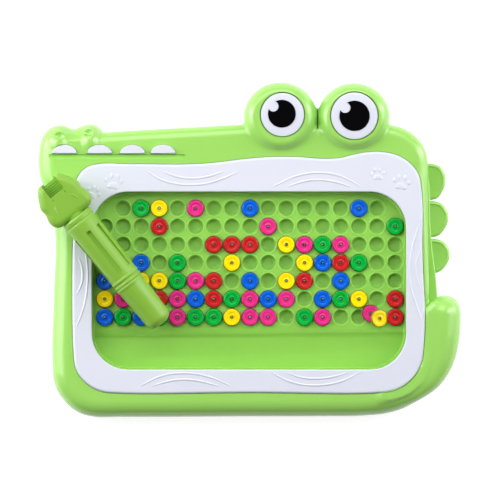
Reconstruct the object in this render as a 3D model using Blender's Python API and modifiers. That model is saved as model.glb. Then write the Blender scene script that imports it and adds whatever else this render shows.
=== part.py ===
"""A magnetic bead drawing board for a small child, shaped like a crocodile.

Metres, +Z up. The board lies on its back with its window up: +X runs to the crocodile's tail, +Y to its
eyes, and the origin is the middle of the base. A place in shares is a share of BOARD_WIDTH along X and of
BOARD_HEIGHT along Y.
"""

import math

import bmesh
import bpy
from mathutils import Matrix, Vector

# Overall size
BOARD_WIDTH = 0.300
BOARD_HEIGHT = 0.243

# Clearances and helpers for cuts
GAP = 0.0003
OVERRUN = 0.0020
WELD = 0.00001

# Moulded body: two hollow halves that meet at the parting height
SHELL_TOP = 0.0240
PARTING_HEIGHT = 0.0070
WALL = 0.0020
MOST_TOP_ROUND = 0.0052
TOP_ROUND_SHARE = 0.0215
TOP_ROUND = min(MOST_TOP_ROUND, TOP_ROUND_SHARE * BOARD_HEIGHT)
BASE_ROUND = 0.0028
CURVE_STEPS = 2
TOP_ROUND_STEPS = 3
BASE_ROUND_STEPS = 1
HOLLOW_CURVE_STEPS = 1
HOLLOW_ROUND_STEPS = 1

BODY_SHARES = (
    (-0.466, 0.076), (-0.482, 0.159), (-0.498, 0.206), (-0.503, 0.256), (-0.496, 0.312),
    (-0.480, 0.350), (-0.454, 0.367), (-0.420, 0.356), (-0.400, 0.369), (-0.379, 0.372),
    (-0.349, 0.345), (-0.238, 0.353), (-0.119, 0.361), (-0.012, 0.368), (0.167, 0.369),
    (0.333, 0.367), (0.367, 0.356), (0.398, 0.322), (0.418, 0.282), (0.428, 0.229),
    (0.431, 0.082), (0.436, 0.000), (0.445, -0.088), (0.446, -0.235), (0.436, -0.315),
    (0.407, -0.394), (0.357, -0.453), (0.286, -0.484), (0.190, -0.489), (0.000, -0.490),
    (-0.310, -0.494), (-0.379, -0.494), (-0.414, -0.474), (-0.446, -0.438), (-0.464, -0.394),
    (-0.469, -0.329), (-0.466, -0.147),
)
BODY_CORNERS = (7, 10)

# The tail is a rounded roll that wraps the lower right corner and rises towards its tip
TAIL_SHARES = (
    (0.446, -0.140), (0.462, -0.134), (0.483, -0.139), (0.500, -0.157), (0.505, -0.188),
    (0.501, -0.256), (0.488, -0.315), (0.464, -0.366), (0.429, -0.420), (0.388, -0.454),
    (0.338, -0.479), (0.274, -0.489), (0.190, -0.490), (0.190, -0.444), (0.281, -0.437),
    (0.352, -0.415), (0.393, -0.374), (0.413, -0.318), (0.415, -0.265), (0.415, -0.174),
)
TAIL_CORNERS = (0, 12, 13, 19)
TAIL_ROOT_FALL = 0.0004
TAIL_TIP_RISE = 0.0022
TAIL_ROOT_TOP = SHELL_TOP - TAIL_ROOT_FALL
TAIL_TIP_TOP = SHELL_TOP + TAIL_TIP_RISE

# Three flat back scales with a raised rim, lower than the body
SCALE_SHARES = (
    (
        (0.410, 0.252), (0.441, 0.254), (0.460, 0.240), (0.468, 0.207), (0.461, 0.174),
        (0.443, 0.150), (0.410, 0.158),
    ),
    (
        (0.410, 0.136), (0.447, 0.143), (0.467, 0.126), (0.475, 0.097), (0.467, 0.065),
        (0.446, 0.040), (0.410, 0.048),
    ),
    (
        (0.410, 0.024), (0.447, 0.032), (0.470, 0.016), (0.478, -0.013), (0.470, -0.044),
        (0.446, -0.068), (0.410, -0.060),
    ),
)
SCALE_CORNERS = (0, 6)
SCALE_TOP = 0.0132
SCALE_BASE = 0.0010
SCALE_RIM_WIDTH = 0.0022
SCALE_RIM_HEIGHT = 0.0010
SCALE_ROUND = 0.0012

# Eye domes and the web between them, each dome with a white disc in a pocket and a black pupil in the disc
DOME_SHARES = {"left": (0.071, 0.391), "right": (0.249, 0.391)}
DOME_RADIUS = {"left": 0.0258, "right": 0.0250}
DOME_RISE = 0.0055
DOME_TOP = SHELL_TOP + DOME_RISE
DOME_SPRING = 0.0090
DOME_FLAT_RADIUS = 0.0180
DOME_SIDES = 28
DOME_STEPS = 4
DOME_HOLLOW_SIDES = 16
DOME_HOLLOW_STEPS = 2
WEB_SHARE = (0.161, 0.385)
WEB_WIDTH = 0.0120
WEB_LENGTH = 0.0300
WEB_TOP = 0.0150
EYE_OFF = {"left": (0.0018, 0.0015), "right": (-0.0003, 0.0007)}
EYE_RADIUS = {"left": 0.0154, "right": 0.0166}
EYE_POCKET_DEPTH = 0.0018
EYE_THICKNESS = 0.0018
EYE_SIDES = 28
PUPIL_OFF = {"left": (-0.0004, 0.0006), "right": (0.0001, -0.0001)}
PUPIL_RADIUS = {"left": 0.0099, "right": 0.0108}
PUPIL_POCKET_DEPTH = 0.0008
PUPIL_THICKNESS = 0.0008
GLINT_RADIUS = 0.0038
GLINT_OFF_SHARES = (-0.62, 0.54)

# Snout: nostril dimples, a mouth groove and four upper teeth on one strip
NOSTRIL_SHARES = ((-0.453, 0.338), (-0.385, 0.346))
NOSTRIL_RADIUS = 0.0035
NOSTRIL_DEPTH = 0.0014
MOUTH_LEFT_SHARE = -0.480
MOUTH_RIGHT_SHARE = -0.156
MOUTH_Y_SHARE = 0.275
MOUTH_WIDTH = 0.0018
MOUTH_DEPTH = 0.0011
TOOTH_X_SHARES = (-0.442, -0.3585, -0.280, -0.207)
TOOTH_BASE_SHARE = 0.2835
TOOTH_WIDTH = 0.0180
TOOTH_HEIGHT = 0.0062
TOOTH_PROUD = 0.0005
TOOTH_STEPS = 8
STRIP_THICKNESS = 0.0016
STRIP_MARGIN = 0.0014

# White bezel, let into a recess of the front shell
BEZEL_SHARES = (
    (-0.420, 0.147), (-0.418, 0.182), (-0.408, 0.219), (-0.390, 0.242), (-0.367, 0.252),
    (-0.286, 0.253), (-0.131, 0.253), (-0.071, 0.259), (-0.012, 0.268), (0.050, 0.274),
    (0.112, 0.274), (0.171, 0.269), (0.214, 0.271), (0.252, 0.282), (0.288, 0.289),
    (0.319, 0.288), (0.352, 0.278), (0.383, 0.253), (0.401, 0.222), (0.408, 0.182),
    (0.411, 0.000), (0.414, -0.288), (0.405, -0.343), (0.382, -0.384), (0.352, -0.409),
    (0.319, -0.419), (0.000, -0.420), (-0.321, -0.421), (-0.357, -0.415), (-0.390, -0.392),
    (-0.413, -0.354), (-0.420, -0.309),
)
BEZEL_THICKNESS = 0.0023
BEZEL_PROUD = 0.0012
BEZEL_ROUND = 0.0010
BEZEL_ROUND_STEPS = 1

# Window opening, as far inside the bezel's straight sides as its borders say, and the clear window
BEZEL_SIDE_SHARE = 0.411
BEZEL_TOP_SHARE = 0.253
BEZEL_FOOT_SHARE = -0.420
SIDE_BORDER = 0.01105
TOP_BORDER = 0.0199
FOOT_BORDER = 0.0166
VIEW_RADIUS = 0.0260
VIEW_CORNER_STEPS = 6
VIEW_WIDTH = 2 * (BEZEL_SIDE_SHARE * BOARD_WIDTH - SIDE_BORDER)
VIEW_TOP = BEZEL_TOP_SHARE * BOARD_HEIGHT - TOP_BORDER
VIEW_FOOT = BEZEL_FOOT_SHARE * BOARD_HEIGHT + FOOT_BORDER
WINDOW_THICKNESS = 0.0014
WINDOW_SEAT = 0.0050

# Pegs under the bezel, just outside the window's seat
PEG_RADIUS = 0.0015
PEG_LENGTH = 0.0030
PEG_LAND = 0.0011
PEG_SIDES = 8
PEG_X_SHARES = (-0.33, 0, 0.33)
PEG_OFF = WINDOW_SEAT + GAP + PEG_LAND + GAP + PEG_RADIUS

# Tray: a flange under the window, a field of dimples and a deeper trough along its foot
FLANGE_THICKNESS = 0.0014
TRAY_THICKNESS = 0.0032
TROUGH_DEPTH = 0.0030
TROUGH_TOP_WIDTH = 0.0269
TROUGH_FLOOR_WIDTH = 0.0225
DIMPLE_COLUMNS = 17
DIMPLE_ROWS = 7
DIMPLE_SIDE_MARGIN = 0.00825
DIMPLE_TOP_MARGIN = 0.0117
DIMPLE_FOOT_MARGIN = 0.01044
FIELD_HEIGHT = VIEW_TOP - DIMPLE_TOP_MARGIN - (VIEW_FOOT + TROUGH_TOP_WIDTH + DIMPLE_FOOT_MARGIN)
PITCH_ACROSS = (VIEW_WIDTH - 2 * DIMPLE_SIDE_MARGIN) / (DIMPLE_COLUMNS - 1)
PITCH_DOWN = FIELD_HEIGHT / (DIMPLE_ROWS - 1)

# Beads, nearly as wide as the pitch, and the dimples that they sit in
BEAD_SPACING = 0.0008
BEAD_RADIUS = (min(PITCH_ACROSS, PITCH_DOWN) - BEAD_SPACING) / 2
BEAD_HEIGHT = 0.0029
BEAD_LIFT = 0.0028
BEAD_EDGE = 0.0008
BEAD_FOOT_INSET = 0.0021
BEAD_SIDES = 10
DIMPLE_LIP = 0.0007
DIMPLE_TAPER = 0.0008
DIMPLE_RADIUS = BEAD_RADIUS - DIMPLE_LIP
DIMPLE_DEPTH = 0.0014
DIMPLE_SIDES = 8
# Row and column of each bead, counted from the upper left dimple
BEAD_PLACES = {
    "red": ((1, 3), (2, 6), (2, 8), (3, 0), (3, 13), (4, 6), (4, 11), (5, 3), (5, 16), (6, 16)),
    "yellow": ((0, 3), (2, 10), (3, 7), (4, 3), (5, 0), (5, 14), (6, 7)),
    "green": ((0, 2), (1, 16), (2, 12), (3, 4), (3, 14), (5, 7), (5, 13), (6, 1)),
    "blue": ((0, 8), (0, 14), (3, 2), (4, 0), (4, 8), (4, 13), (5, 12), (6, 0)),
    "pink": ((0, 5), (1, 9), (2, 11), (4, 5), (5, 8), (6, 4), (6, 12)),
}

# Screws from the back, their bosses in both halves
SCREW_SHARES = {
    "snout": (-0.457, 0.223), "crown": (-0.083, 0.309), "brow": (0.362, 0.318),
    "tail": (0.424, -0.374), "middle": (0.0, -0.449), "jaw": (-0.418, -0.410),
}
SCREW_RADIUS = 0.0014
SCREW_HEAD_RADIUS = 0.0028
SCREW_HEAD_HEIGHT = 0.0018
SCREW_REACH = 0.0090
SCREW_SIDES = 8
BOSS_RADIUS = 0.0034
BOSS_SIDES = 10
COUNTERBORE_DEPTH = 0.0040
REAR_BOSS_WALL = 0.0016

# Magnetic pen, modelled along its own +Z from its head to its tip, with +Y its upper side
PEN_LENGTH = 0.1293
PEN_HEAD_SHARES = (-0.4771, 0.2000)
PEN_TIP_SHARES = (-0.2095, -0.2147)
PEN_BORE = 0.0082
PEN_PLUG_LENGTH = 0.0060
PEN_SIDES = 18
PEN_CLEARANCE = 0.0004
NECK_AT = 0.0315
NECK_RADIUS = 0.0112
NECK_TAPER = 0.0030
COLLAR_AT = NECK_AT + NECK_TAPER
COLLAR_RADIUS = 0.0120
CAP_LENGTH = 0.0379
CAP_AT = PEN_LENGTH - CAP_LENGTH
CAP_RADIUS = 0.0106
CAP_RING_WIDTH = 0.0022
CAP_RING_RADIUS = 0.0112
CAP_NOSE_RADIUS = 0.0096
CAP_END_ROUND = 0.0060
CAP_END_STEPS = 3
FLUTE_HEAD_LAND = 0.0112
FLUTE_CAP_LAND = 0.0097
FLUTE_START = COLLAR_AT + FLUTE_HEAD_LAND
FLUTE_END = CAP_AT - FLUTE_CAP_LAND
FLUTE_WIDTH = 0.0030
FLUTE_DEPTH = 0.0015
FLUTE_ANGLES = tuple(math.radians(turn + side) for turn in (0, 120, 240) for side in (-21, 21))
HEAD_THICKNESS = 0.0170
HEAD_ROUND = 0.0016
HEAD_ROUND_STEPS = 1
HEAD_WIDTH = 0.0356
# Half of the head's outline: across as a share of HEAD_WIDTH, along as a share of NECK_AT
HEAD_SIDE_SHARES = (
    (0.30, 0.00), (0.40, 0.08), (0.45, 0.25), (0.475, 0.40), (0.44, 0.49),
    (0.48, 0.59), (0.50, 0.73), (0.475, 0.87), (0.40, 0.96), (0.31, 1.00),
)
NOTCH_WIDTH = 0.0124
NOTCH_LENGTH = 0.0100
NOTCH_FLOOR = 0.0050
MAGNET_RADIUS = 0.0050
MAGNET_LENGTH = 0.0080
MAGNET_SIDES = 12
MAGNET_TIP_WALL = 0.0024

# Heights worked out from the stack of bezel, window, tray flange and shell ledge
BEZEL_TOP = SHELL_TOP + BEZEL_PROUD
BEZEL_BOTTOM = BEZEL_TOP - BEZEL_THICKNESS
RECESS_FLOOR = BEZEL_BOTTOM - GAP
WINDOW_TOP = BEZEL_BOTTOM - GAP
WINDOW_BOTTOM = WINDOW_TOP - WINDOW_THICKNESS
FLANGE_TOP = WINDOW_BOTTOM - GAP
FLANGE_BOTTOM = FLANGE_TOP - FLANGE_THICKNESS
LEDGE_TOP = FLANGE_BOTTOM - GAP
LEDGE_BOTTOM = LEDGE_TOP - WALL
CEILING = SHELL_TOP - WALL
TRAY_TOP = WINDOW_BOTTOM - BEAD_LIFT - BEAD_HEIGHT
TROUGH_FLOOR = TRAY_TOP - TROUGH_DEPTH
TRAY_UNDERSIDE = TRAY_TOP - TRAY_THICKNESS
TROUGH_UNDERSIDE = TROUGH_FLOOR - WALL
EYE_POCKET_FLOOR = DOME_TOP - EYE_POCKET_DEPTH
FRONT_BOTTOM = PARTING_HEIGHT + GAP

BEAD_COLOURS = {
    "red": (0.72, 0.03, 0.03),
    "yellow": (0.98, 0.75, 0.01),
    "green": (0.01, 0.45, 0.06),
    "blue": (0.01, 0.17, 0.80),
    "pink": (0.95, 0.05, 0.30),
}
BODY_GREEN = (0.40, 0.82, 0.16)
TRAY_GREEN = (0.31, 0.65, 0.10)
PEN_GREEN = (0.30, 0.58, 0.08)
BEZEL_WHITE = (0.80, 0.81, 0.90)
PUPIL_BLACK = (0.01, 0.01, 0.012)
WINDOW_CLEAR = (0.90, 0.95, 0.95)
STEEL_GREY = (0.55, 0.55, 0.56)
MAGNET_GREY = (0.25, 0.25, 0.27)
PLASTIC_ROUGHNESS = 0.35
METAL_ROUGHNESS = 0.30


def clear_scene():
    for obj in list(bpy.data.objects):
        bpy.data.objects.remove(obj)


def make_collection(name):
    collection = bpy.data.collections.new(name)
    bpy.context.scene.collection.children.link(collection)
    return collection


def make_material(name, colour, roughness=PLASTIC_ROUGHNESS, metallic=0, alpha=1):
    material = bpy.data.materials.new(name)
    material.use_nodes = True
    shader = material.node_tree.nodes["Principled BSDF"]
    shader.inputs["Base Color"].default_value = (*colour, 1)
    shader.inputs["Roughness"].default_value = roughness
    shader.inputs["Metallic"].default_value = metallic
    shader.inputs["Alpha"].default_value = alpha
    material.diffuse_color = (*colour, alpha)
    return material


def place(share, off=(0, 0)):
    """A point of the board from its shares of the width and the height, moved by off."""
    return (share[0] * BOARD_WIDTH + off[0], share[1] * BOARD_HEIGHT + off[1])


def places(shares):
    return [place(share) for share in shares]


def helper(name, data):
    """A new object among the cutters, which no render shows."""
    obj = bpy.data.objects.new(name, data)
    CUTTERS.objects.link(obj)
    obj.hide_render = True
    obj.display_type = "WIRE"
    return obj


def baked(obj):
    """The object as its modifiers leave it, as a mesh of its own."""
    graph = bpy.context.evaluated_depsgraph_get()
    mesh = bpy.data.meshes.new_from_object(obj.evaluated_get(graph))
    new = helper(obj.name, mesh)
    new.matrix_world = obj.matrix_world
    name = obj.name
    bpy.data.objects.remove(obj)
    new.name = name
    return new


def as_part(obj, name, material):
    """Makes a helper a part of the board."""
    CUTTERS.objects.unlink(obj)
    BOARD.objects.link(obj)
    obj.name = name
    obj.hide_render = False
    obj.display_type = "TEXTURED"
    obj.data.materials.clear()
    obj.data.materials.append(material)
    obj.data.shade_smooth()
    obj.data.set_sharp_from_angle(angle=math.radians(30))
    return obj


def boolean(target, tool, operation="DIFFERENCE"):
    modifier = target.modifiers.new(tool.name, "BOOLEAN")
    modifier.operation = operation
    modifier.solver = "EXACT"
    modifier.object = tool
    return target


def round_rim(bm, height, width, steps):
    """Rounds the edge all round a flat end of a prism."""
    rim = [edge for edge in bm.edges if all(abs(vert.co.z - height) < WELD for vert in edge.verts)]
    bmesh.ops.bevel(bm, geom=rim, offset=width, segments=steps, profile=0.5, affect="EDGES")


def prism(
    name, points, low, high, corners=(), offset=0, steps=CURVE_STEPS, top_round=(), base_round=(),
):
    """An outline drawn smoothly through the points, from height low to height high.

    The numbered corners stay sharp. offset moves the outline outwards. A round is a width and a step count.
    """
    curve = bpy.data.curves.new(name, "CURVE")
    curve.dimensions = "2D"
    curve.fill_mode = "BOTH"
    curve.extrude = (high - low) / 2
    curve.offset = offset
    curve.resolution_u = steps
    spline = curve.splines.new("BEZIER")
    spline.bezier_points.add(len(points) - 1)
    spline.use_cyclic_u = True
    for index, (knot, point) in enumerate(zip(spline.bezier_points, points)):
        kind = "VECTOR" if index in corners else "AUTO"
        knot.co = (*point, 0)
        knot.handle_left_type = kind
        knot.handle_right_type = kind
    obj = baked(helper(name, curve))
    bm = bmesh.new()
    bm.from_mesh(obj.data)
    bmesh.ops.remove_doubles(bm, verts=bm.verts, dist=WELD)
    caps = [face for face in bm.faces if abs(face.normal.z) > 0.5]
    bmesh.ops.dissolve_faces(bm, faces=caps)
    bmesh.ops.translate(bm, verts=bm.verts, vec=(0, 0, (low + high) / 2))
    if top_round:
        round_rim(bm, high, *top_round)
    if base_round:
        round_rim(bm, low, *base_round)
    bmesh.ops.recalc_face_normals(bm, faces=bm.faces)
    bm.to_mesh(obj.data)
    bm.free()
    return obj


def polygon_prism(name, points, low, high, **settings):
    """A prism whose outline runs straight from point to point."""
    return prism(name, points, low, high, corners=range(len(points)), steps=1, **settings)


def box(name, centre, size):
    bm = bmesh.new()
    bmesh.ops.create_cube(bm, size=1)
    bmesh.ops.scale(bm, verts=bm.verts, vec=size)
    bmesh.ops.translate(bm, verts=bm.verts, vec=centre)
    mesh = bpy.data.meshes.new(name)
    bm.to_mesh(mesh)
    bm.free()
    return helper(name, mesh)


def cylinders(name, centres, radius, low, high, sides, foot_radius=None):
    """Upright cylinders, or cones with a foot radius of their own, as one mesh."""
    bm = bmesh.new()
    for x, y in centres:
        bmesh.ops.create_cone(
            bm,
            cap_ends=True,
            segments=sides,
            radius1=radius if foot_radius is None else foot_radius,
            radius2=radius,
            depth=high - low,
            matrix=Matrix.Translation((x, y, (low + high) / 2)),
        )
    mesh = bpy.data.meshes.new(name)
    bm.to_mesh(mesh)
    bm.free()
    return helper(name, mesh)


def turned(name, profile, sides, closed=False):
    """A profile of (radius, height) points, top to bottom, turned about Z. A closed one leaves a bore."""
    mesh = bpy.data.meshes.new(name)
    edges = [(index, index + 1) for index in range(len(profile) - 1)]
    if closed:
        edges.append((len(profile) - 1, 0))
    mesh.from_pydata([(radius, 0, height) for radius, height in profile], edges, [])
    obj = helper(name, mesh)
    screw = obj.modifiers.new("turn", "SCREW")
    screw.steps = sides
    screw.render_steps = sides
    screw.use_merge_vertices = True
    screw.merge_threshold = WELD
    screw.use_smooth_shade = True
    return baked(obj)


def arc(centre, radius, start, end, steps, rise=None):
    """Points on an arc, or on an ellipse whose half height is rise."""
    rise = radius if rise is None else rise
    turns = [start + (end - start) * index / steps for index in range(steps + 1)]
    return [(centre[0] + radius * math.cos(turn), centre[1] + rise * math.sin(turn)) for turn in turns]


def view_outline(margin):
    """The window opening's rounded rectangle, grown by a margin."""
    radius = VIEW_RADIUS + margin
    across = VIEW_WIDTH / 2 + margin - radius
    along = (VIEW_TOP - VIEW_FOOT) / 2 + margin - radius
    middle = (VIEW_TOP + VIEW_FOOT) / 2
    points = []
    for quarter, (side, end) in enumerate(((1, 1), (-1, 1), (-1, -1), (1, -1))):
        start = quarter * math.pi / 2
        centre = (side * across, middle + end * along)
        points += arc(centre, radius, start, start + math.pi / 2, VIEW_CORNER_STEPS)
    return points


def dome_profile(name, inset):
    """One eye dome's side, from the flat on its top to its foot, inset by a wall."""
    radius = DOME_RADIUS[name] - inset
    flat = DOME_FLAT_RADIUS - inset
    top = DOME_TOP - (EYE_POCKET_DEPTH + WALL if inset else 0)
    steps = DOME_HOLLOW_STEPS if inset else DOME_STEPS
    side = arc((flat, DOME_SPRING), radius - flat, math.pi / 2, 0, steps, top - DOME_SPRING)
    foot = WALL if inset else 0
    return [(0, top), *side, (radius, foot), (0, foot)]


def tilt_tail(obj, low):
    """Lowers the tail towards its root, where it sinks into the border."""
    root = min(vert.co.x for vert in obj.data.vertices)
    tip = max(vert.co.x for vert in obj.data.vertices)
    for vert in obj.data.vertices:
        along = (vert.co.x - root) / (tip - root)
        fall = (1 - along) * (TAIL_TIP_TOP - TAIL_ROOT_TOP) / (TAIL_TIP_TOP - low)
        vert.co.z -= (vert.co.z - low) * fall
    return obj


def lumps(prefix, inset):
    """The forms that the body is made of: outer ones, or the hollows a wall inside them."""
    steps = HOLLOW_CURVE_STEPS if inset else CURVE_STEPS
    top_round = (TOP_ROUND - inset, HOLLOW_ROUND_STEPS if inset else TOP_ROUND_STEPS)
    base_round = () if inset else (BASE_ROUND, BASE_ROUND_STEPS)
    body = prism(
        prefix + "_body", places(BODY_SHARES), inset, SHELL_TOP - inset, BODY_CORNERS, -inset, steps,
        top_round=top_round, base_round=base_round,
    )
    tail = prism(
        prefix + "_tail", places(TAIL_SHARES), inset, TAIL_TIP_TOP - inset, TAIL_CORNERS, -inset, steps,
        top_round=top_round, base_round=base_round,
    )
    made = [body, tilt_tail(tail, inset)]
    for number, shares in enumerate(SCALE_SHARES, 1):
        top = SCALE_TOP - (SCALE_RIM_HEIGHT + inset if inset else 0)
        rim_round = () if inset else (SCALE_ROUND, BASE_ROUND_STEPS)
        scale = prism(
            f"{prefix}_scale_{number}", places(shares), SCALE_BASE + inset, top, SCALE_CORNERS, -inset,
            steps, top_round=rim_round, base_round=base_round,
        )
        if not inset:
            boolean(scale, prism(
                f"scale_face_{number}", places(shares), SCALE_TOP - SCALE_RIM_HEIGHT, SCALE_TOP + OVERRUN,
                SCALE_CORNERS, -SCALE_RIM_WIDTH,
            ))
        made.append(scale)
    for name, share in DOME_SHARES.items():
        sides = DOME_HOLLOW_SIDES if inset else DOME_SIDES
        dome = turned(f"{prefix}_dome_{name}", dome_profile(name, inset), sides)
        dome.location = (*place(share), 0)
        made.append(dome)
    if not inset:
        size = (WEB_WIDTH, WEB_LENGTH, WEB_TOP - SCALE_BASE)
        made.append(box(prefix + "_web", (*place(WEB_SHARE), (WEB_TOP + SCALE_BASE) / 2), size))
    return made


def joined_form(name, forms):
    first = forms[0]
    first.name = name
    for other in forms[1:]:
        boolean(first, other, "UNION")
    return first


def slab(name, low, high):
    """A block wider than the board, between two heights."""
    return box(name, (0, 0, (low + high) / 2), (2 * BOARD_WIDTH, 2 * BOARD_HEIGHT, high - low))


def tooth_prisms(prefix, low, high, margin):
    """Half ellipses that stand on the mouth's edge."""
    base = TOOTH_BASE_SHARE * BOARD_HEIGHT - margin
    made = []
    for number, share in enumerate(TOOTH_X_SHARES, 1):
        centre = (share * BOARD_WIDTH, base)
        across = TOOTH_WIDTH / 2 + margin
        points = arc(centre, across, 0, math.pi, TOOTH_STEPS, TOOTH_HEIGHT + 2 * margin)
        made.append(polygon_prism(f"{prefix}_{number}", points, low, high))
    return made


def screw_centres():
    return places(SCREW_SHARES.values())


def peg_centres():
    rows = (VIEW_TOP + PEG_OFF, VIEW_FOOT - PEG_OFF)
    return [(share * BOARD_WIDTH, y) for share in PEG_X_SHARES for y in rows]


def eye_centre(name):
    return place(DOME_SHARES[name], EYE_OFF[name])


def make_rear_cover(outer, hollow):
    cover = slab("rear_cover", -OVERRUN, PARTING_HEIGHT)
    boolean(cover, outer, "INTERSECT")
    boolean(cover, hollow)
    bore = SCREW_HEAD_RADIUS + GAP
    boolean(cover, cylinders(
        "rear_bosses", screw_centres(), bore + REAR_BOSS_WALL, WALL / 2, PARTING_HEIGHT, BOSS_SIDES,
    ), "UNION")
    boolean(cover, cylinders(
        "counterbores", screw_centres(), bore, -OVERRUN, COUNTERBORE_DEPTH, SCREW_SIDES,
    ))
    boolean(cover, cylinders(
        "clearance_holes", screw_centres(), SCREW_RADIUS + GAP, -OVERRUN, PARTING_HEIGHT + OVERRUN,
        SCREW_SIDES,
    ))
    return as_part(cover, "rear_cover", GREEN)


def make_front_shell(outer, hollow):
    shell = slab("front_shell", FRONT_BOTTOM, DOME_TOP + OVERRUN)
    boolean(shell, outer, "INTERSECT")
    boolean(shell, hollow)
    seat = WINDOW_SEAT + GAP
    boolean(shell, prism(
        "bezel_seat", places(BEZEL_SHARES), RECESS_FLOOR - WALL, RECESS_FLOOR + GAP, offset=WALL,
        steps=HOLLOW_CURVE_STEPS,
    ), "UNION")
    boolean(shell, polygon_prism(
        "window_ledge", view_outline(seat + WALL), LEDGE_BOTTOM, RECESS_FLOOR - GAP,
    ), "UNION")
    boolean(shell, cylinders(
        "front_bosses", screw_centres(), BOSS_RADIUS, FRONT_BOTTOM, SHELL_TOP - GAP, BOSS_SIDES,
    ), "UNION")
    boolean(shell, prism(
        "bezel_recess", places(BEZEL_SHARES), RECESS_FLOOR, BEZEL_TOP + OVERRUN, offset=GAP,
    ))
    boolean(shell, polygon_prism("window_pocket", view_outline(seat), LEDGE_TOP, BEZEL_TOP))
    boolean(shell, polygon_prism("tray_hole", view_outline(WALL + GAP), -OVERRUN, BEZEL_BOTTOM))
    for tooth in tooth_prisms("tooth_slot", CEILING - OVERRUN, SHELL_TOP + OVERRUN, GAP):
        boolean(shell, tooth)
    left = MOUTH_LEFT_SHARE * BOARD_WIDTH
    right = MOUTH_RIGHT_SHARE * BOARD_WIDTH
    boolean(shell, box(
        "mouth_groove",
        ((left + right) / 2, MOUTH_Y_SHARE * BOARD_HEIGHT, SHELL_TOP),
        (right - left, MOUTH_WIDTH, 2 * MOUTH_DEPTH),
    ))
    boolean(shell, cylinders(
        "nostrils", places(NOSTRIL_SHARES), NOSTRIL_RADIUS + NOSTRIL_DEPTH, SHELL_TOP - NOSTRIL_DEPTH,
        SHELL_TOP + NOSTRIL_DEPTH, BOSS_SIDES, foot_radius=NOSTRIL_RADIUS - NOSTRIL_DEPTH,
    ))
    for name, radius in EYE_RADIUS.items():
        boolean(shell, cylinders(
            "eye_pocket_" + name, [eye_centre(name)], radius + GAP, EYE_POCKET_FLOOR,
            DOME_TOP + OVERRUN, EYE_SIDES,
        ))
    boolean(shell, cylinders(
        "peg_holes", peg_centres(), PEG_RADIUS + GAP, LEDGE_BOTTOM - OVERRUN, BEZEL_TOP, PEG_SIDES,
    ))
    boolean(shell, cylinders(
        "pilot_holes", screw_centres(), SCREW_RADIUS + GAP, FRONT_BOTTOM - OVERRUN,
        COUNTERBORE_DEPTH + SCREW_REACH + GAP, SCREW_SIDES,
    ))
    return as_part(shell, "front_shell", GREEN)


def make_bezel():
    bezel = prism(
        "bezel", places(BEZEL_SHARES), BEZEL_BOTTOM, BEZEL_TOP, top_round=(BEZEL_ROUND, BEZEL_ROUND_STEPS),
    )
    boolean(bezel, polygon_prism(
        "bezel_opening", view_outline(0), BEZEL_BOTTOM - OVERRUN, BEZEL_TOP + OVERRUN,
    ))
    boolean(bezel, cylinders(
        "bezel_pegs", peg_centres(), PEG_RADIUS, BEZEL_BOTTOM - PEG_LENGTH, BEZEL_BOTTOM + GAP, PEG_SIDES,
    ), "UNION")
    return as_part(bezel, "bezel", WHITE)


def make_window():
    window = polygon_prism("window", view_outline(WINDOW_SEAT), WINDOW_BOTTOM, WINDOW_TOP)
    return as_part(window, "window", CLEAR)


def slope_cut(obj, slide, keep_upper):
    """Cuts a block off along the slope between the dimple field and the trough."""
    foot = Vector((0, VIEW_FOOT + TROUGH_FLOOR_WIDTH + slide, TROUGH_FLOOR))
    top = Vector((0, VIEW_FOOT + TROUGH_TOP_WIDTH + slide, TRAY_TOP))
    normal = (top - foot).cross(Vector((1, 0, 0))).normalized()
    bm = bmesh.new()
    bm.from_mesh(obj.data)
    cut = bmesh.ops.bisect_plane(
        bm, geom=bm.verts[:] + bm.edges[:] + bm.faces[:], dist=WELD, plane_co=foot, plane_no=normal,
        clear_outer=not keep_upper, clear_inner=keep_upper,
    )
    edges = [part for part in cut["geom_cut"] if isinstance(part, bmesh.types.BMEdge)]
    bmesh.ops.edgenet_fill(bm, edges=edges)
    bmesh.ops.recalc_face_normals(bm, faces=bm.faces)
    bm.to_mesh(obj.data)
    bm.free()
    return obj


def dimple_place(row, column):
    x = (column - (DIMPLE_COLUMNS - 1) / 2) * PITCH_ACROSS
    y = VIEW_TOP - DIMPLE_TOP_MARGIN - row * PITCH_DOWN
    return (x, y)


def make_bead_tray():
    tray = polygon_prism("bead_tray", view_outline(WALL), TROUGH_UNDERSIDE, FLANGE_BOTTOM + GAP)
    boolean(tray, polygon_prism(
        "tray_flange", view_outline(WINDOW_SEAT), FLANGE_BOTTOM, FLANGE_TOP,
    ), "UNION")
    boolean(tray, polygon_prism("bead_chamber", view_outline(0), TRAY_TOP, FLANGE_TOP + OVERRUN))
    trough = polygon_prism("trough", view_outline(0), TROUGH_FLOOR, TRAY_TOP + GAP)
    boolean(tray, slope_cut(trough, 0, keep_upper=False))
    under = polygon_prism("tray_underside", view_outline(0), TROUGH_UNDERSIDE - OVERRUN, TRAY_UNDERSIDE)
    boolean(tray, slope_cut(under, WALL, keep_upper=True))
    last = DIMPLE_COLUMNS - 1
    cells = [(row, column) for row in range(DIMPLE_ROWS) for column in range(DIMPLE_COLUMNS)]
    centres = [dimple_place(*cell) for cell in cells if cell not in ((0, 0), (0, last))]
    boolean(tray, cylinders(
        "dimples", centres, DIMPLE_RADIUS, TRAY_TOP - DIMPLE_DEPTH, TRAY_TOP + WELD, DIMPLE_SIDES,
        foot_radius=DIMPLE_RADIUS - DIMPLE_TAPER,
    ))
    return as_part(tray, "bead_tray", TRAY)


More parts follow.
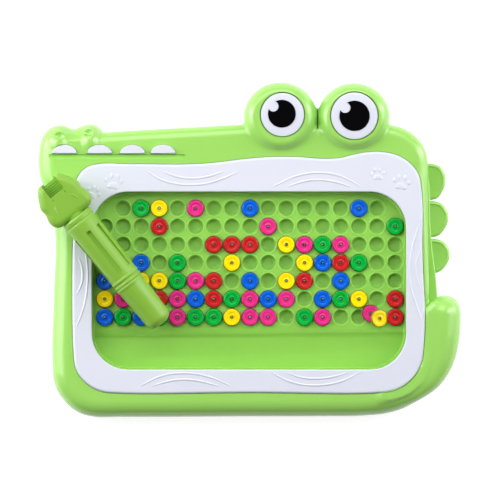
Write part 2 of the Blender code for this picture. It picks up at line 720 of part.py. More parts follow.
def make_teeth():
    low = CEILING - GAP - STRIP_THICKNESS
    left = TOOTH_X_SHARES[0] * BOARD_WIDTH - TOOTH_WIDTH / 2 - STRIP_MARGIN
    right = TOOTH_X_SHARES[-1] * BOARD_WIDTH + TOOTH_WIDTH / 2 + STRIP_MARGIN
    base = TOOTH_BASE_SHARE * BOARD_HEIGHT
    depth = TOOTH_HEIGHT + 2 * STRIP_MARGIN
    strip = box(
        "tooth_strip",
        ((left + right) / 2, base + TOOTH_HEIGHT / 2, low + STRIP_THICKNESS / 2),
        (right - left, depth, STRIP_THICKNESS),
    )
    for tooth in tooth_prisms("tooth", low + GAP, SHELL_TOP + TOOTH_PROUD, 0):
        boolean(strip, tooth, "UNION")
    return as_part(strip, "tooth_strip", WHITE)


def make_eye(name):
    low = EYE_POCKET_FLOOR + GAP
    high = low + EYE_THICKNESS
    pocket_floor = high - PUPIL_POCKET_DEPTH
    white = cylinders("eye_white_" + name, [eye_centre(name)], EYE_RADIUS[name], low, high, EYE_SIDES)
    radius = PUPIL_RADIUS[name]
    x, y = (at + off for at, off in zip(eye_centre(name), PUPIL_OFF[name]))
    glint = (x + GLINT_OFF_SHARES[0] * radius, y + GLINT_OFF_SHARES[1] * radius)
    pocket = cylinders(
        "pupil_pocket_" + name, [(x, y)], radius + GAP, pocket_floor, high + OVERRUN, EYE_SIDES,
    )
    island = cylinders(
        "glint_island_" + name, [glint], GLINT_RADIUS - GAP, pocket_floor - OVERRUN,
        high + 2 * OVERRUN, PEN_SIDES,
    )
    boolean(white, boolean(pocket, island))
    as_part(white, "eye_white_" + name, WHITE)
    low = pocket_floor + GAP
    pupil = cylinders("pupil_" + name, [(x, y)], radius, low, low + PUPIL_THICKNESS, EYE_SIDES)
    boolean(pupil, cylinders(
        "pupil_bite_" + name, [glint], GLINT_RADIUS, low - OVERRUN, high + 3 * OVERRUN, PEN_SIDES,
    ))
    as_part(pupil, "pupil_" + name, BLACK)


def make_screws():
    head = COUNTERBORE_DEPTH - GAP
    tip = COUNTERBORE_DEPTH + SCREW_REACH
    crown = head - SCREW_HEAD_HEIGHT
    profile = [
        (0, tip), (SCREW_RADIUS / 2, tip), (SCREW_RADIUS, tip - SCREW_RADIUS), (SCREW_RADIUS, head),
        (SCREW_HEAD_RADIUS, head), (SCREW_HEAD_RADIUS, crown), (0, crown),
    ]
    for name, share in SCREW_SHARES.items():
        screw = turned("screw_" + name, profile, SCREW_SIDES)
        screw.location = (*place(share), 0)
        as_part(screw, "screw_" + name, STEEL)


def make_beads():
    foot = TRAY_TOP - DIMPLE_DEPTH + GAP
    rest = TRAY_TOP + GAP
    top = TRAY_TOP + BEAD_HEIGHT
    profile = [
        (0, top), (BEAD_RADIUS - BEAD_EDGE, top), (BEAD_RADIUS, top - BEAD_EDGE),
        (BEAD_RADIUS, rest + BEAD_EDGE), (BEAD_RADIUS - BEAD_FOOT_INSET, foot), (0, foot),
    ]
    for colour, cells in BEAD_PLACES.items():
        material = make_material(colour + "_bead_plastic", BEAD_COLOURS[colour])
        for row, column in cells:
            bead = turned(f"bead_{colour}_{row}_{column}", profile, BEAD_SIDES)
            bead.location = (*dimple_place(row, column), 0)
            as_part(bead, bead.name, material)


def pen_line():
    """The pen's axis as it lies: its tip cap on the window and its barrel on the bezel's inner edge."""
    head = Vector((*place(PEN_HEAD_SHARES), 0))
    tip = Vector((*place(PEN_TIP_SHARES), 0))
    course = (tip - head).normalized()
    edge_x = -VIEW_WIDTH / 2
    edge_along = (edge_x - head.x) / course.x
    cap_along = PEN_LENGTH - CAP_END_ROUND
    edge_height = BEZEL_TOP + COLLAR_RADIUS + PEN_CLEARANCE
    cap_height = WINDOW_TOP + CAP_NOSE_RADIUS + PEN_CLEARANCE
    fall = math.atan2(edge_height - cap_height, cap_along - edge_along)
    along = Vector((course.x * math.cos(fall), course.y * math.cos(fall), -math.sin(fall)))
    head.z = edge_height + edge_along * math.sin(fall)
    across = Vector((0, 0, 1)).cross(along).normalized()
    up = along.cross(across)
    return head, across, up, along


def make_pen_empty():
    head, across, up, along = pen_line()
    empty = bpy.data.objects.new("pen_axis", None)
    BOARD.objects.link(empty)
    turn = Matrix((across, up, along)).transposed().to_4x4()
    empty.matrix_world = Matrix.Translation(head) @ turn
    return empty


def plug(name, start, end, radius=PEN_BORE - GAP):
    return cylinders(name, [(0, 0)], radius, start, end, PEN_SIDES)


def make_pen_head():
    right = [(x * HEAD_WIDTH, y * NECK_AT) for x, y in HEAD_SIDE_SHARES]
    left = [(-x, y) for x, y in reversed(right)]
    half = HEAD_THICKNESS / 2
    head = polygon_prism(
        "pen_head", right + left, -half, half, top_round=(HEAD_ROUND, HEAD_ROUND_STEPS),
        base_round=(HEAD_ROUND, HEAD_ROUND_STEPS),
    )
    boolean(head, box(
        "head_notch",
        (0, NOTCH_LENGTH / 2 - OVERRUN / 2, -NOTCH_FLOOR),
        (NOTCH_WIDTH, NOTCH_LENGTH + OVERRUN, HEAD_THICKNESS),
    ))
    head = baked(head)
    head.data.transform(Matrix.Rotation(math.pi / 2, 4, "X"))
    boolean(head, plug("head_plug", NECK_AT - OVERRUN, NECK_AT + PEN_PLUG_LENGTH), "UNION")
    return as_part(head, "pen_head", PEN)


def make_pen_barrel():
    start = NECK_AT + GAP
    end = CAP_AT - GAP
    barrel = turned("pen_barrel", [
        (PEN_BORE, end), (CAP_RING_RADIUS, end), (COLLAR_RADIUS, COLLAR_AT), (NECK_RADIUS, start),
        (PEN_BORE, start),
    ], PEN_SIDES, closed=True)
    for number, angle in enumerate(FLUTE_ANGLES, 1):
        centre = (0, COLLAR_RADIUS - FLUTE_DEPTH + FLUTE_WIDTH / 2, (FLUTE_START + FLUTE_END) / 2)
        size = (FLUTE_WIDTH, FLUTE_WIDTH, FLUTE_END - FLUTE_START)
        groove = box(f"flute_{number}", centre, size)
        groove.data.transform(Matrix.Rotation(angle, 4, "Z"))
        boolean(barrel, groove)
    return as_part(barrel, "pen_barrel", PEN)


def make_pen_tip():
    pocket = MAGNET_RADIUS + GAP
    floor = PEN_LENGTH - MAGNET_TIP_WALL
    ring = CAP_AT + CAP_RING_WIDTH
    inner = CAP_NOSE_RADIUS - CAP_END_ROUND
    nose = arc((inner, PEN_LENGTH - CAP_END_ROUND), CAP_END_ROUND, math.pi / 2, 0, CAP_END_STEPS)
    plug_radius = PEN_BORE - GAP
    start = CAP_AT - PEN_PLUG_LENGTH
    cap = turned("pen_tip_cap", [
        (0, PEN_LENGTH), *nose, (CAP_RADIUS, ring), (CAP_RING_RADIUS, CAP_AT), (plug_radius, CAP_AT),
        (plug_radius, start), (pocket, start), (pocket, floor), (0, floor),
    ], PEN_SIDES)
    as_part(cap, "pen_tip_cap", PEN)
    high = floor - GAP
    magnet = cylinders("pen_magnet", [(0, 0)], MAGNET_RADIUS, high - MAGNET_LENGTH, high, MAGNET_SIDES)
    return cap, as_part(magnet, "pen_magnet", MAGNET)


def make_pen():
    """The pen's pieces, and the tools that cut them, all carried by its axis."""
    empty = make_pen_empty()
    for piece in (make_pen_head(), make_pen_barrel(), *make_pen_tip()):
        piece.parent = empty
        for modifier in piece.modifiers:
            modifier.object.parent = empty


clear_scene()
BOARD = make_collection("crocodile_drawing_board")
CUTTERS = make_collection("cutters")
GREEN = make_material("green_body_plastic", BODY_GREEN)
TRAY = make_material("green_tray_plastic", TRAY_GREEN)
PEN = make_material("green_pen_plastic", PEN_GREEN)
WHITE = make_material("white_plastic", BEZEL_WHITE)
BLACK = make_material("black_plastic", PUPIL_BLACK)
CLEAR = make_material("clear_plastic", WINDOW_CLEAR, alpha=0.2)
STEEL = make_material("zinc_plated_steel", STEEL_GREY, METAL_ROUGHNESS, metallic=1)
MAGNET = make_material("ferrite_magnet", MAGNET_GREY, METAL_ROUGHNESS)
OUTER = joined_form("outer_form", lumps("outer", 0))
HOLLOW = joined_form("hollow_form", lumps("hollow", WALL))
make_rear_cover(OUTER, HOLLOW)
make_front_shell(OUTER, HOLLOW)
make_bezel()
make_window()
make_bead_tray()
make_teeth()
for side in EYE_RADIUS:
    make_eye(side)
make_screws()
make_beads()
make_pen()
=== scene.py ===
"""Looks of a magnetic bead drawing board for a small child, shaped like a crocodile.

Metres, +Z up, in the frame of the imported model: the board lies on its back, +X runs to the tail and +Y to
the eyes. A place in shares is a share of BOARD_WIDTH along X and of BOARD_HEIGHT along Y.
"""

import math

import bpy
from mathutils import Matrix, Vector


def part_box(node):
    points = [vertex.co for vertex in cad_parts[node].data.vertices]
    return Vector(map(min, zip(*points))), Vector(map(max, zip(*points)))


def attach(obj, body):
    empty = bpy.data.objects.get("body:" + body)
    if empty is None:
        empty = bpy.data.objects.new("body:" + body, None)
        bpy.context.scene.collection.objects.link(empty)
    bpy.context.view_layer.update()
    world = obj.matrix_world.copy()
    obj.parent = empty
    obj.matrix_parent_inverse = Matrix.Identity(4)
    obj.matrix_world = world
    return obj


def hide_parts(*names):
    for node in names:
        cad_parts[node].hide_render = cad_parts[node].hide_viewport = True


bl_info = {
    "name": "Crocodile drawing board",
    "version": (1, 0, 0),
    "blender": (4, 5, 0),
    "location": "View3D > Sidebar > Drawing board",
    "description": "Builds the moulded, printed and metal pieces of a magnetic bead drawing board",
    "category": "Add Mesh",
}

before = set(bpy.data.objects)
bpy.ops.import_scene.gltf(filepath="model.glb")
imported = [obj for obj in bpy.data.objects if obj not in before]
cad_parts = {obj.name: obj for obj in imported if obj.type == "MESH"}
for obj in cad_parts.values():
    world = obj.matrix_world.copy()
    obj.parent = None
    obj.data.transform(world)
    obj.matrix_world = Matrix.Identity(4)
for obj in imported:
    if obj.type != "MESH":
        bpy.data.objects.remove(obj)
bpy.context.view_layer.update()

# Overall size and clearances
BOARD_WIDTH = 0.300
BOARD_HEIGHT = 0.243
GAP = 0.0003
WELD = 0.00001
OVERRUN = 0.0020
WALL = 0.0020
SHARP_ANGLE = 35

# Heights of the stack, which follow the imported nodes
BEZEL_THICKNESS = 0.0023
BEZEL_PROUD = 0.0012
FLANGE_THICKNESS = 0.0014
TROUGH_DEPTH = 0.0030
PARTING_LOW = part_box("rear_cover")[1].z
PARTING_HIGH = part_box("front_shell")[0].z
DOME_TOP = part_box("front_shell")[1].z
BEZEL_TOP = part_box("bezel")[1].z
BEZEL_BOTTOM = BEZEL_TOP - BEZEL_THICKNESS
RECESS_FLOOR = BEZEL_BOTTOM - GAP
BODY_TOP = BEZEL_TOP - BEZEL_PROUD
WINDOW_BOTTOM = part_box("window")[0].z
WINDOW_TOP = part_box("window")[1].z
FLANGE_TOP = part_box("bead_tray")[1].z
FLANGE_BOTTOM = FLANGE_TOP - FLANGE_THICKNESS
TRAY_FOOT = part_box("bead_tray")[0].z
TROUGH_FLOOR = TRAY_FOOT + WALL
TRAY_TOP = TROUGH_FLOOR + TROUGH_DEPTH
LEDGE_TOP = FLANGE_BOTTOM - GAP
LEDGE_BOTTOM = LEDGE_TOP - WALL
EYE_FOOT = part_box("eye_white_left")[0].z
PUPIL_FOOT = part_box("pupil_left")[0].z
PUPIL_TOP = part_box("pupil_left")[1].z

# Window opening and the window's seat round it
SEAT = 0.0050
VIEW_SHIFT = -0.0007
VIEW_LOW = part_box("window")[0] + Vector((SEAT + VIEW_SHIFT, SEAT, 0))
VIEW_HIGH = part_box("window")[1] - Vector((SEAT - VIEW_SHIFT, SEAT, 0))
VIEW_RADIUS = 0.0260
VIEW_CORNER_STEPS = 14

# Body outlines. The pillow leaves out the snout's bumps and the low step along its right side
PILLOW_SHARES = (
    (-0.467, 0.076), (-0.483, 0.159), (-0.499, 0.206), (-0.505, 0.254), (-0.504, 0.286),
    (-0.499, 0.321), (-0.489, 0.346), (-0.473, 0.362), (-0.457, 0.368), (-0.445, 0.367),
    (-0.421, 0.356), (-0.405, 0.364), (-0.378, 0.371), (-0.361, 0.361), (-0.348, 0.3445),
    (-0.238, 0.353), (-0.119, 0.361), (-0.012, 0.368), (0.167, 0.369),
    (0.330, 0.367), (0.368, 0.355), (0.400, 0.326), (0.418, 0.290), (0.4262, 0.240),
    (0.4280, 0.082), (0.4285, 0.000), (0.430, -0.088), (0.431, -0.200), (0.446, -0.270),
    (0.458, -0.330), (0.448, -0.385), (0.424, -0.423), (0.386, -0.455), (0.338, -0.478),
    (0.274, -0.488), (0.190, -0.490), (0.000, -0.4905), (-0.310, -0.4920), (-0.379, -0.4905),
    (-0.416, -0.475), (-0.448, -0.438), (-0.467, -0.394), (-0.472, -0.329), (-0.469, -0.147),
)
RIDGE_SHARES = (
    (-0.368, 0.3415), (-0.346, 0.3445), (-0.238, 0.353), (-0.119, 0.361), (-0.012, 0.368),
    (0.167, 0.369), (0.330, 0.367), (0.368, 0.355), (0.400, 0.326), (0.418, 0.290),
    (0.424, 0.240), (0.420, 0.120), (0.418, 0.000), (0.420, -0.088), (0.420, -0.180),
    (0.410, -0.240), (0.380, -0.260), (0.340, -0.100), (0.320, 0.120), (0.200, 0.190),
    (-0.200, 0.190), (-0.350, 0.200), (-0.376, 0.290), (-0.382, 0.325),
)
STEP_SHARES = (
    (0.330, 0.280), (0.388, 0.296), (0.414, 0.268), (0.4268, 0.215), (0.431, 0.082),
    (0.436, 0.000), (0.445, -0.088), (0.446, -0.235), (0.420, -0.330), (0.330, -0.330),
)
STEP_TOP = 0.0165
STEP_ROUND = 0.0010
SHOULDER_SHARES = (
    (0.372, 0.232), (0.384, 0.248), (0.398, 0.252), (0.4100, 0.240), (0.4150, 0.216),
    (0.4165, 0.188), (0.4195, 0.106), (0.4238, 0.000), (0.4262, -0.080), (0.4270, -0.112),
    (0.4250, -0.142), (0.4165, -0.167), (0.400, -0.192), (0.382, -0.188), (0.370, -0.150),
    (0.368, 0.000), (0.368, 0.200),
)
SHOULDER_FOOT = 0.0100
SHOULDER_WIDTH = 0.0045
SHOULDER_SQUASH = 0.5
CAVITY_SHARES = (
    (-0.430, 0.076), (-0.440, 0.159), (-0.458, 0.206), (-0.463, 0.256), (-0.440, 0.290),
    (-0.349, 0.300), (-0.012, 0.325), (0.167, 0.326), (0.330, 0.324), (0.364, 0.300),
    (0.385, 0.229), (0.395, 0.082), (0.400, -0.088), (0.400, -0.235), (0.390, -0.315),
    (0.340, -0.410), (0.286, -0.445), (0.190, -0.450), (0.000, -0.450), (-0.310, -0.454),
    (-0.379, -0.440), (-0.425, -0.394), (-0.435, -0.329), (-0.430, -0.147),
)
BASE_ROUND = 0.0028
UNDERCUT = 0.0010

# The snout's two bumps: x, y, half width, half length, top. A shallow nostril lies in each
LOBES = ((-0.1366, 0.0762, 0.0112, 0.0134, 0.0268), (-0.1145, 0.0774, 0.0102, 0.0132, 0.0268))
LOBE_EQUATOR = 0.0110
NOSTRILS = ((-0.1358, 0.0816), (-0.1153, 0.0841))
NOSTRIL_RADIUS = 0.0038
NOSTRIL_DEPTH = 0.0028

# The eye domes and the web between them
DOME_SHARES = {"left": (0.0727, 0.391), "right": (0.2480, 0.391)}
DOME_RADIUS = {"left": 0.0264, "right": 0.0258}
DOME_TALL_SHARE = 0.955
DOME_SPRING = 0.0165
DOME_FLAT_RADIUS = 0.0180
DOME_SIDES = 96
DOME_STEPS = 14
WEB_SHARE = (0.161, 0.376)
WEB_SIZE = (0.0120, 0.0200, 0.0090)
WEB_BASE = 0.0010
# Corners of the narrow slit between the domes
SLIT_LOW = (0.0479, 0.0865, 0.0110)
SLIT_HIGH = (0.0488, 0.1080, 0.0300)
# Where the crease at a dome's foot is softened: distances from its middle, then heights
DOME_CREASE = ((0.0215, 0.0285), (0.0225, 0.0270))
CREASE_PASSES = 14

# The tail's roll, from its tip to where it sinks into the foot border: x, y, radius, top
TAIL_RUN = (
    (0.1380, -0.0462, 0.0134, 0.0258), (0.1374, -0.0620, 0.0132, 0.0257),
    (0.1350, -0.0765, 0.0122, 0.0254), (0.1290, -0.0890, 0.0108, 0.0249),
    (0.1195, -0.0980, 0.0094, 0.0242), (0.1080, -0.1045, 0.0080, 0.0232),
    (0.0960, -0.1080, 0.0066, 0.0220),
)
TAIL_SHARES = (
    (0.446, -0.140), (0.462, -0.134), (0.483, -0.139), (0.499, -0.157), (0.5042, -0.188),
    (0.501, -0.256), (0.488, -0.315), (0.464, -0.366), (0.429, -0.420), (0.388, -0.454),
    (0.338, -0.479), (0.274, -0.489), (0.190, -0.490), (0.190, -0.444), (0.281, -0.437),
    (0.352, -0.415), (0.393, -0.374), (0.413, -0.318), (0.415, -0.265), (0.415, -0.174),
)
TAIL_CORNERS = (0, 12, 13, 19)
TAIL_BASE_TOP = 0.0128
TAIL_FILL_SHARES = (
    (0.440, -0.150), (0.455, -0.165), (0.465, -0.190), (0.469, -0.230), (0.465, -0.280),
    (0.450, -0.332), (0.428, -0.372), (0.395, -0.408), (0.350, -0.438), (0.300, -0.450),
    (0.300, -0.420), (0.352, -0.400), (0.390, -0.360), (0.405, -0.310), (0.409, -0.250),
    (0.412, -0.178), (0.424, -0.163),
)
TAIL_FILL_TOP = 0.0254
TAIL_FILL_WIDTH = 0.0090
TAIL_FILL_SQUASH = 0.28

# Three flat back scales with a raised rim along their outer curve
SCALE_SHARES = (
    (
        (0.400, 0.252), (0.441, 0.254), (0.460, 0.240), (0.468, 0.207), (0.461, 0.174),
        (0.443, 0.150), (0.400, 0.158),
    ),
    (
        (0.400, 0.136), (0.447, 0.143), (0.467, 0.126), (0.475, 0.097), (0.467, 0.065),
        (0.446, 0.040), (0.400, 0.048),
    ),
    (
        (0.400, 0.024), (0.447, 0.032), (0.470, 0.016), (0.478, -0.013), (0.470, -0.044),
        (0.446, -0.068), (0.400, -0.060),
    ),
)
SCALE_CORNERS = (0, 6)
SCALE_TOP = 0.0132
SCALE_ROUND = 0.0018
SCALE_RIM_WIDTH = 0.0022
SCALE_RIM_HEIGHT = 0.0005

# Screws from the back and the bosses that they run in
SCREW_NAMES = ("snout", "crown", "brow", "tail", "middle", "jaw")
SCREW_RADIUS = 0.0014
SCREW_HEAD_RADIUS = 0.0028
BOSS_RADIUS = 0.0034
REAR_BOSS_WALL = 0.0016
COUNTERBORE_DEPTH = 0.0040
BOSS_SIDES = 32

# Mouth groove and the four upper teeth on one strip
MOUTH_LEFT = -0.1440
MOUTH_RIGHT = -0.0468
MOUTH_TOP = 0.0684
MOUTH_FLOOR_WIDTH = 0.0025
MOUTH_WIDTH = 0.0032
MOUTH_DEPTH = 0.0011
MOUTH_LIP = 0.0003
TOOTH_X_SHARES = (-0.442, -0.3585, -0.280, -0.207)
TOOTH_BASE = 0.0689
TOOTH_WIDTH = 0.0176
TOOTH_HEIGHT = 0.0062
TOOTH_STEPS = 28
TOOTH_ROUND = 0.0006
STRIP_THICKNESS = 0.0014
STRIP_MARGIN = 0.0012

# Bezel outline, and its raised arcs and paw prints
BEZEL_SHARES = (
    (-0.420, 0.147), (-0.418, 0.182), (-0.408, 0.219), (-0.390, 0.242), (-0.367, 0.252),
    (-0.286, 0.253), (-0.131, 0.253), (-0.071, 0.259), (-0.012, 0.268), (0.050, 0.274),
    (0.112, 0.274), (0.171, 0.269), (0.214, 0.271), (0.252, 0.282), (0.288, 0.289),
    (0.319, 0.288), (0.352, 0.278), (0.383, 0.253), (0.401, 0.222), (0.408, 0.182),
    (0.411, 0.000), (0.414, -0.288), (0.405, -0.343), (0.382, -0.384), (0.352, -0.409),
    (0.319, -0.419), (0.000, -0.420), (-0.321, -0.421), (-0.357, -0.415), (-0.390, -0.392),
    (-0.413, -0.354), (-0.420, -0.309),
)
RIDGE_LINES = (
    (
        (-0.0732, 0.0561), (-0.0645, 0.0506), (-0.0531, 0.0473), (-0.0413, 0.0465), (-0.0290, 0.0479),
        (-0.0186, 0.0514), (-0.0089, 0.0556),
    ),
    ((-0.0616, 0.0559), (-0.0534, 0.0527), (-0.0408, 0.0511), (-0.0282, 0.0529), (-0.0201, 0.0557)),
    ((0.0171, 0.0455), (0.0336, 0.0529), (0.0488, 0.0551), (0.0640, 0.0529), (0.0795, 0.0452)),
    ((0.0269, 0.0452), (0.0371, 0.0486), (0.0488, 0.0500), (0.0605, 0.0486), (0.0720, 0.0452)),
    ((-0.0783, -0.0971), (-0.0643, -0.0904), (-0.0472, -0.0879), (-0.0300, -0.0904), (-0.0140, -0.0968)),
    ((-0.0697, -0.0971), (-0.0586, -0.0938), (-0.0472, -0.0925), (-0.0350, -0.0938), (-0.0226, -0.0971)),
    ((0.0155, -0.0875), (0.0296, -0.0943), (0.0468, -0.0966), (0.0643, -0.0940), (0.0787, -0.0872)),
    ((0.0271, -0.0880), (0.0364, -0.0909), (0.0476, -0.0918), (0.0589, -0.0906), (0.0698, -0.0875)),
    (
        (0.1210, 0.0186), (0.1170, 0.0060), (0.1147, -0.0056), (0.1141, -0.0180), (0.1157, -0.0300),
        (0.1193, -0.0410), (0.1229, -0.0505),
    ),
    ((0.1220, 0.0000), (0.1193, -0.0071), (0.1184, -0.0136), (0.1196, -0.0214), (0.1225, -0.0300)),
    ((-0.1186, 0.0050), (-0.1164, -0.0086), (-0.1161, -0.0250), (-0.1189, -0.0414), (-0.1240, -0.0550)),
    ((-0.1221, -0.0057), (-0.1199, -0.0129), (-0.1196, -0.0200), (-0.1211, -0.0264), (-0.1243, -0.0321)),
)
RIDGE_END_SHARE = 0.75
# Paw prints: x, y, height overall, turn
PAWS = (
    (-0.0972, 0.0492, 0.0142, -8), (-0.1114, 0.0414, 0.0110, -30), (0.0911, 0.0545, 0.0112, 4),
    (0.1082, 0.0487, 0.0135, -10),
)
# Each paw's pads, from the middle of the paw: x, y, half width, half height, as shares of its height
PAW_PAD_SHARES = (
    (0.00, -0.22, 0.26, 0.17), (-0.17, -0.30, 0.12, 0.11), (0.17, -0.30, 0.12, 0.11),
    (-0.40, 0.02, 0.085, 0.13), (-0.15, 0.24, 0.09, 0.15), (0.15, 0.24, 0.09, 0.15),
    (0.40, 0.02, 0.085, 0.13),
)

# Tray: dimples in rows and columns, and the trough along its foot
DIMPLE_COLUMNS = 17
DIMPLE_ROWS = 7
DIMPLE_SIDES = 32
DIMPLE_TAPER = 0.0006
COLLAR_RISE = 0.0004
COLLAR_WIDTH = 0.0003
COLLAR_FLAT = 0.00015
COLLAR_SHOULDER_SHARE = 0.7
CHAMBER_ROUND = 0.0009
TROUGH_FLOOR_WIDTH = 0.0225
TROUGH_MOUTH_WIDTH = 0.0269
TROUGH_FROM = VIEW_LOW.y + TROUGH_FLOOR_WIDTH
TROUGH_TO = VIEW_LOW.y + TROUGH_MOUTH_WIDTH
# Painted shade: what the green is multiplied by in a dimple, and the share of that which the field and the
# trough get
# The collars keep the full green, a painted highlight beside the shaded field
DIMPLE_SHADE_TONE = (0.62, 0.66, 0.55, 1.0)
FIELD_SHADE_SHARE = 0.5

# Beads that lie still in the tray, beside those that lift out, by row and column
STILL_BEADS = {
    "red": ((2, 7), (5, 6)),
    "yellow": ((3, 11), (4, 2), (4, 10)),
    "green": ((4, 4), (6, 3), (6, 5), (6, 6), (6, 11)),
    "blue": ((3, 12), (5, 5), (5, 9), (6, 2)),
    "pink": ((2, 13), (5, 1), (5, 4), (5, 10), (6, 8), (6, 9)),
}
# Two beads that fell beside their dimples: colour, place of the bead's seat height, lean, heading of the lean
LOOSE_BEADS = (
    ("pink", (0.0862, -0.0452, 0.0158), 10, -40),
    ("yellow", (0.0921, -0.0489, 0.0163), 19, -8),
)
# A bead's heights are from the field that it sits in
BEAD_RADIUS = 0.0064
BEAD_FACE_RADIUS = 0.0058
BEAD_TOP = 0.0029
BEAD_FOOT = -0.0011
BEAD_BASE = 0.0008
BEAD_ROLL = 0.0017
BEAD_CHAMFER = 0.0010
BEAD_FOOT_INSET = 0.0018
BEAD_SIDES = 40
HOLE_DEPTH = 0.0020
HOLE_GAP = 0.0004
HUB_WIDTH = 0.0006
HUB_BEVEL = 0.0002
HUB_SLOPE = 0.0003
RING_SLOPE = 0.0004
RING_BEVEL = 0.0001
CORE_SINK = 0.0002
CORE_ROUND = 0.0006
CORE_SIDES = 16
# Painted shade: what a bead's colour is multiplied by at its rim and in its hole
BEAD_SHADE_TONE = (0.28, 0.28, 0.28, 1.0)

# Eyes
EYE_SIDES = 96
MOAT_DEPTH = 0.0030
PUPIL_ROUND = 0.00025
GLINT_RADIUS = 0.0038
GLINT_OFF_SHARES = (-0.62, 0.54)

# Pen, modelled along its own +Z from its head to its tip, with +Y its upper side
PEN_LENGTH = 0.1293
PEN_HEAD_SHARES = (-0.4771, 0.2000)
PEN_TIP_SHARES = (-0.2095, -0.2147)
PEN_CLEARANCE = 0.0004
PEN_BORE = 0.0082
PEN_PLUG_LENGTH = 0.0060
PEN_SIDES = 96
NECK_AT = 0.0315
NECK_RADIUS = 0.0117
NECK_BEVEL = 0.0004
NECK_INSET = 0.0007
NECK_SHOULDER = 0.0014
PEN_COLLAR_AT = 0.0345
PEN_COLLAR_RADIUS = 0.0120
BARREL_RADIUS = 0.0118
CAP_AT = 0.0914
CAP_RADIUS = 0.0106
CAP_RING_WIDTH = 0.0022
CAP_RING_RADIUS = 0.0110
CAP_NOSE_RADIUS = 0.0096
CAP_END_ROUND = 0.0060
CAP_END_WALL = 0.0024
# Turned profiles, each as how far a point is off a radius and how far along from a place on the axis
BARREL_END_STEPS = (
    (-0.0004, 0), (-0.0001, -0.0003), (0, -0.0010), (-0.0001, -0.0017), (-0.0005, -0.0023),
    (-0.0005, -0.0028), (0, -0.0034), (0.0002, -0.0042), (0.0001, -0.0050), (-0.0003, -0.0057),
    (-0.0002, -0.0066),
)
BARREL_COLLAR_STEPS = (
    (0, 0.0040), (0, 0.0026), (-0.0003, 0.0018), (-0.0006, 0.0014), (-0.0003, 0.0009), (-0.0001, 0),
    (-0.0003, -0.0009),
)
CAP_SIDE_STEPS = ((-0.0001, 0.0012), (0, 0.0005))
CAP_RING_TOP_STEPS = ((-0.0002, 0), (0, -0.0006))
CAP_RING_FOOT_STEPS = ((0, 0.0009), (-0.0002, 0.0003), (-0.0005, 0))
FLUTE_START = 0.0450
FLUTE_END = 0.0815
FLUTE_WIDTH = 0.0032
FLUTE_DEPTH = 0.0015
FLUTE_SINK = 0.0004
FLUTE_TURNS = tuple(turn + side for turn in (0, 120, 240) for side in (-48, -1))
HEAD_THICKNESS = 0.0170
HEAD_SOFTENING = 12
HEAD_SIDE = (
    (0.0088, -0.0006), (0.0118, 0.0030), (0.0146, 0.0080), (0.0167, 0.0125), (0.0164, 0.0180),
    (0.0174, 0.0212), (0.0178, 0.0245), (0.0170, 0.0277), (0.0150, 0.0300), (0.0124, 0.0314),
)
BROW_LINE = ((0.0060, 0.0166), (0.0078, 0.0182), (0.0088, 0.0206), (0.0089, 0.0232))
BROW_RADIUS = 0.0009
BROW_RADIUS_SHARES = (0.5, 1, 1, 0.4)
PIT_PLACE = (0.0052, 0.0128)
PIT_RADIUS = 0.0007
NOTCH_WIDTH = 0.0120
NOTCH_LENGTH = 0.0102
RIB_COUNT = 6
RIB_RADIUS = 0.0004
RIB_START_SHARE = 0.7
END_GAP = (0.0045, 0.0018)
NOTCH_FLOOR = -0.0035
MAGNET_RADIUS = 0.0050

# Sizes and heights of the patterns in the materials: drift of tone, moulded grain, specks, paper fibre
FLOW_SIZE = 0.030
ABS_GRAIN = 0.0012
ABS_RELIEF = 0.000012
GLOSS_GRAIN = 0.0030
GLOSS_RELIEF = 0.000010
FERRITE_GRAIN = 0.0008
FERRITE_RELIEF = 0.00003
STEEL_SPECK = 0.0004
STEEL_RELIEF = 0.00001
PAPER_FIBRE = 0.004
PAPER_RELIEF = 0.00002
GLOSS_DRIFT = 0.02

# Lamps: place, width and length, and the setting that holds the power
LAMPS = {
    "top_lamp": ((-0.20, 0.95, 1.25), (1.5, 0.8), "key_power"),
    "left_panel": ((-1.30, 0.25, 0.52), (0.95, 1.6), "left_power"),
    "right_panel": ((1.30, 0.35, 0.52), (0.95, 1.6), "right_power"),
    "left_strip": ((-1.05, 0.35, 0.58), (0.14, 1.5), "strip_power"),
    "right_strip": ((1.05, 0.45, 0.58), (0.14, 1.5), "strip_power"),
}
# How the pale room darkens straight overhead, and beyond the foot
OVERHEAD_RANGE = {"From Min": 0.92, "From Max": 0.55, "To Min": 0.06, "To Max": 1.0}
FOOT_RANGE = {"From Min": -0.8, "From Max": 0.3, "To Min": 0.25, "To Max": 1.0}
FLOOR_SIZE = 12
CLIP_START = 0.05


def linear(code):
    """An sRGB hex colour as the linear colour that a shader takes."""
    parts = [int(code[start:start + 2], 16) / 255 for start in (1, 3, 5)]
    return (*(part / 12.92 if part <= 0.04045 else ((part + 0.055) / 1.055) ** 2.4 for part in parts), 1.0)


def place(share):
    return (share[0] * BOARD_WIDTH, share[1] * BOARD_HEIGHT)


def places(shares):
    return [place(share) for share in shares]


def activate(obj):
    """Makes obj the only selected object."""
    bpy.ops.object.select_all(action="DESELECT")
    obj.select_set(True)
    bpy.context.view_layer.objects.active = obj
    return obj


def leave():
    bpy.ops.object.mode_set(mode="OBJECT")


def pick(obj, kind, test):
    """Opens obj in edit mode with the faces, edges or vertices that pass the test selected."""
    activate(obj)
    bpy.ops.object.mode_set(mode="EDIT")
    bpy.ops.mesh.select_mode(type=kind)
    bpy.ops.mesh.select_all(action="DESELECT")
    leave()
    mesh = obj.data
    for item in {"VERT": mesh.vertices, "EDGE": mesh.edges, "FACE": mesh.polygons}[kind]:
        corners = [item.co] if kind == "VERT" else [mesh.vertices[index].co for index in item.vertices]
        item.select = bool(test(item, corners))
    bpy.ops.object.mode_set(mode="EDIT")


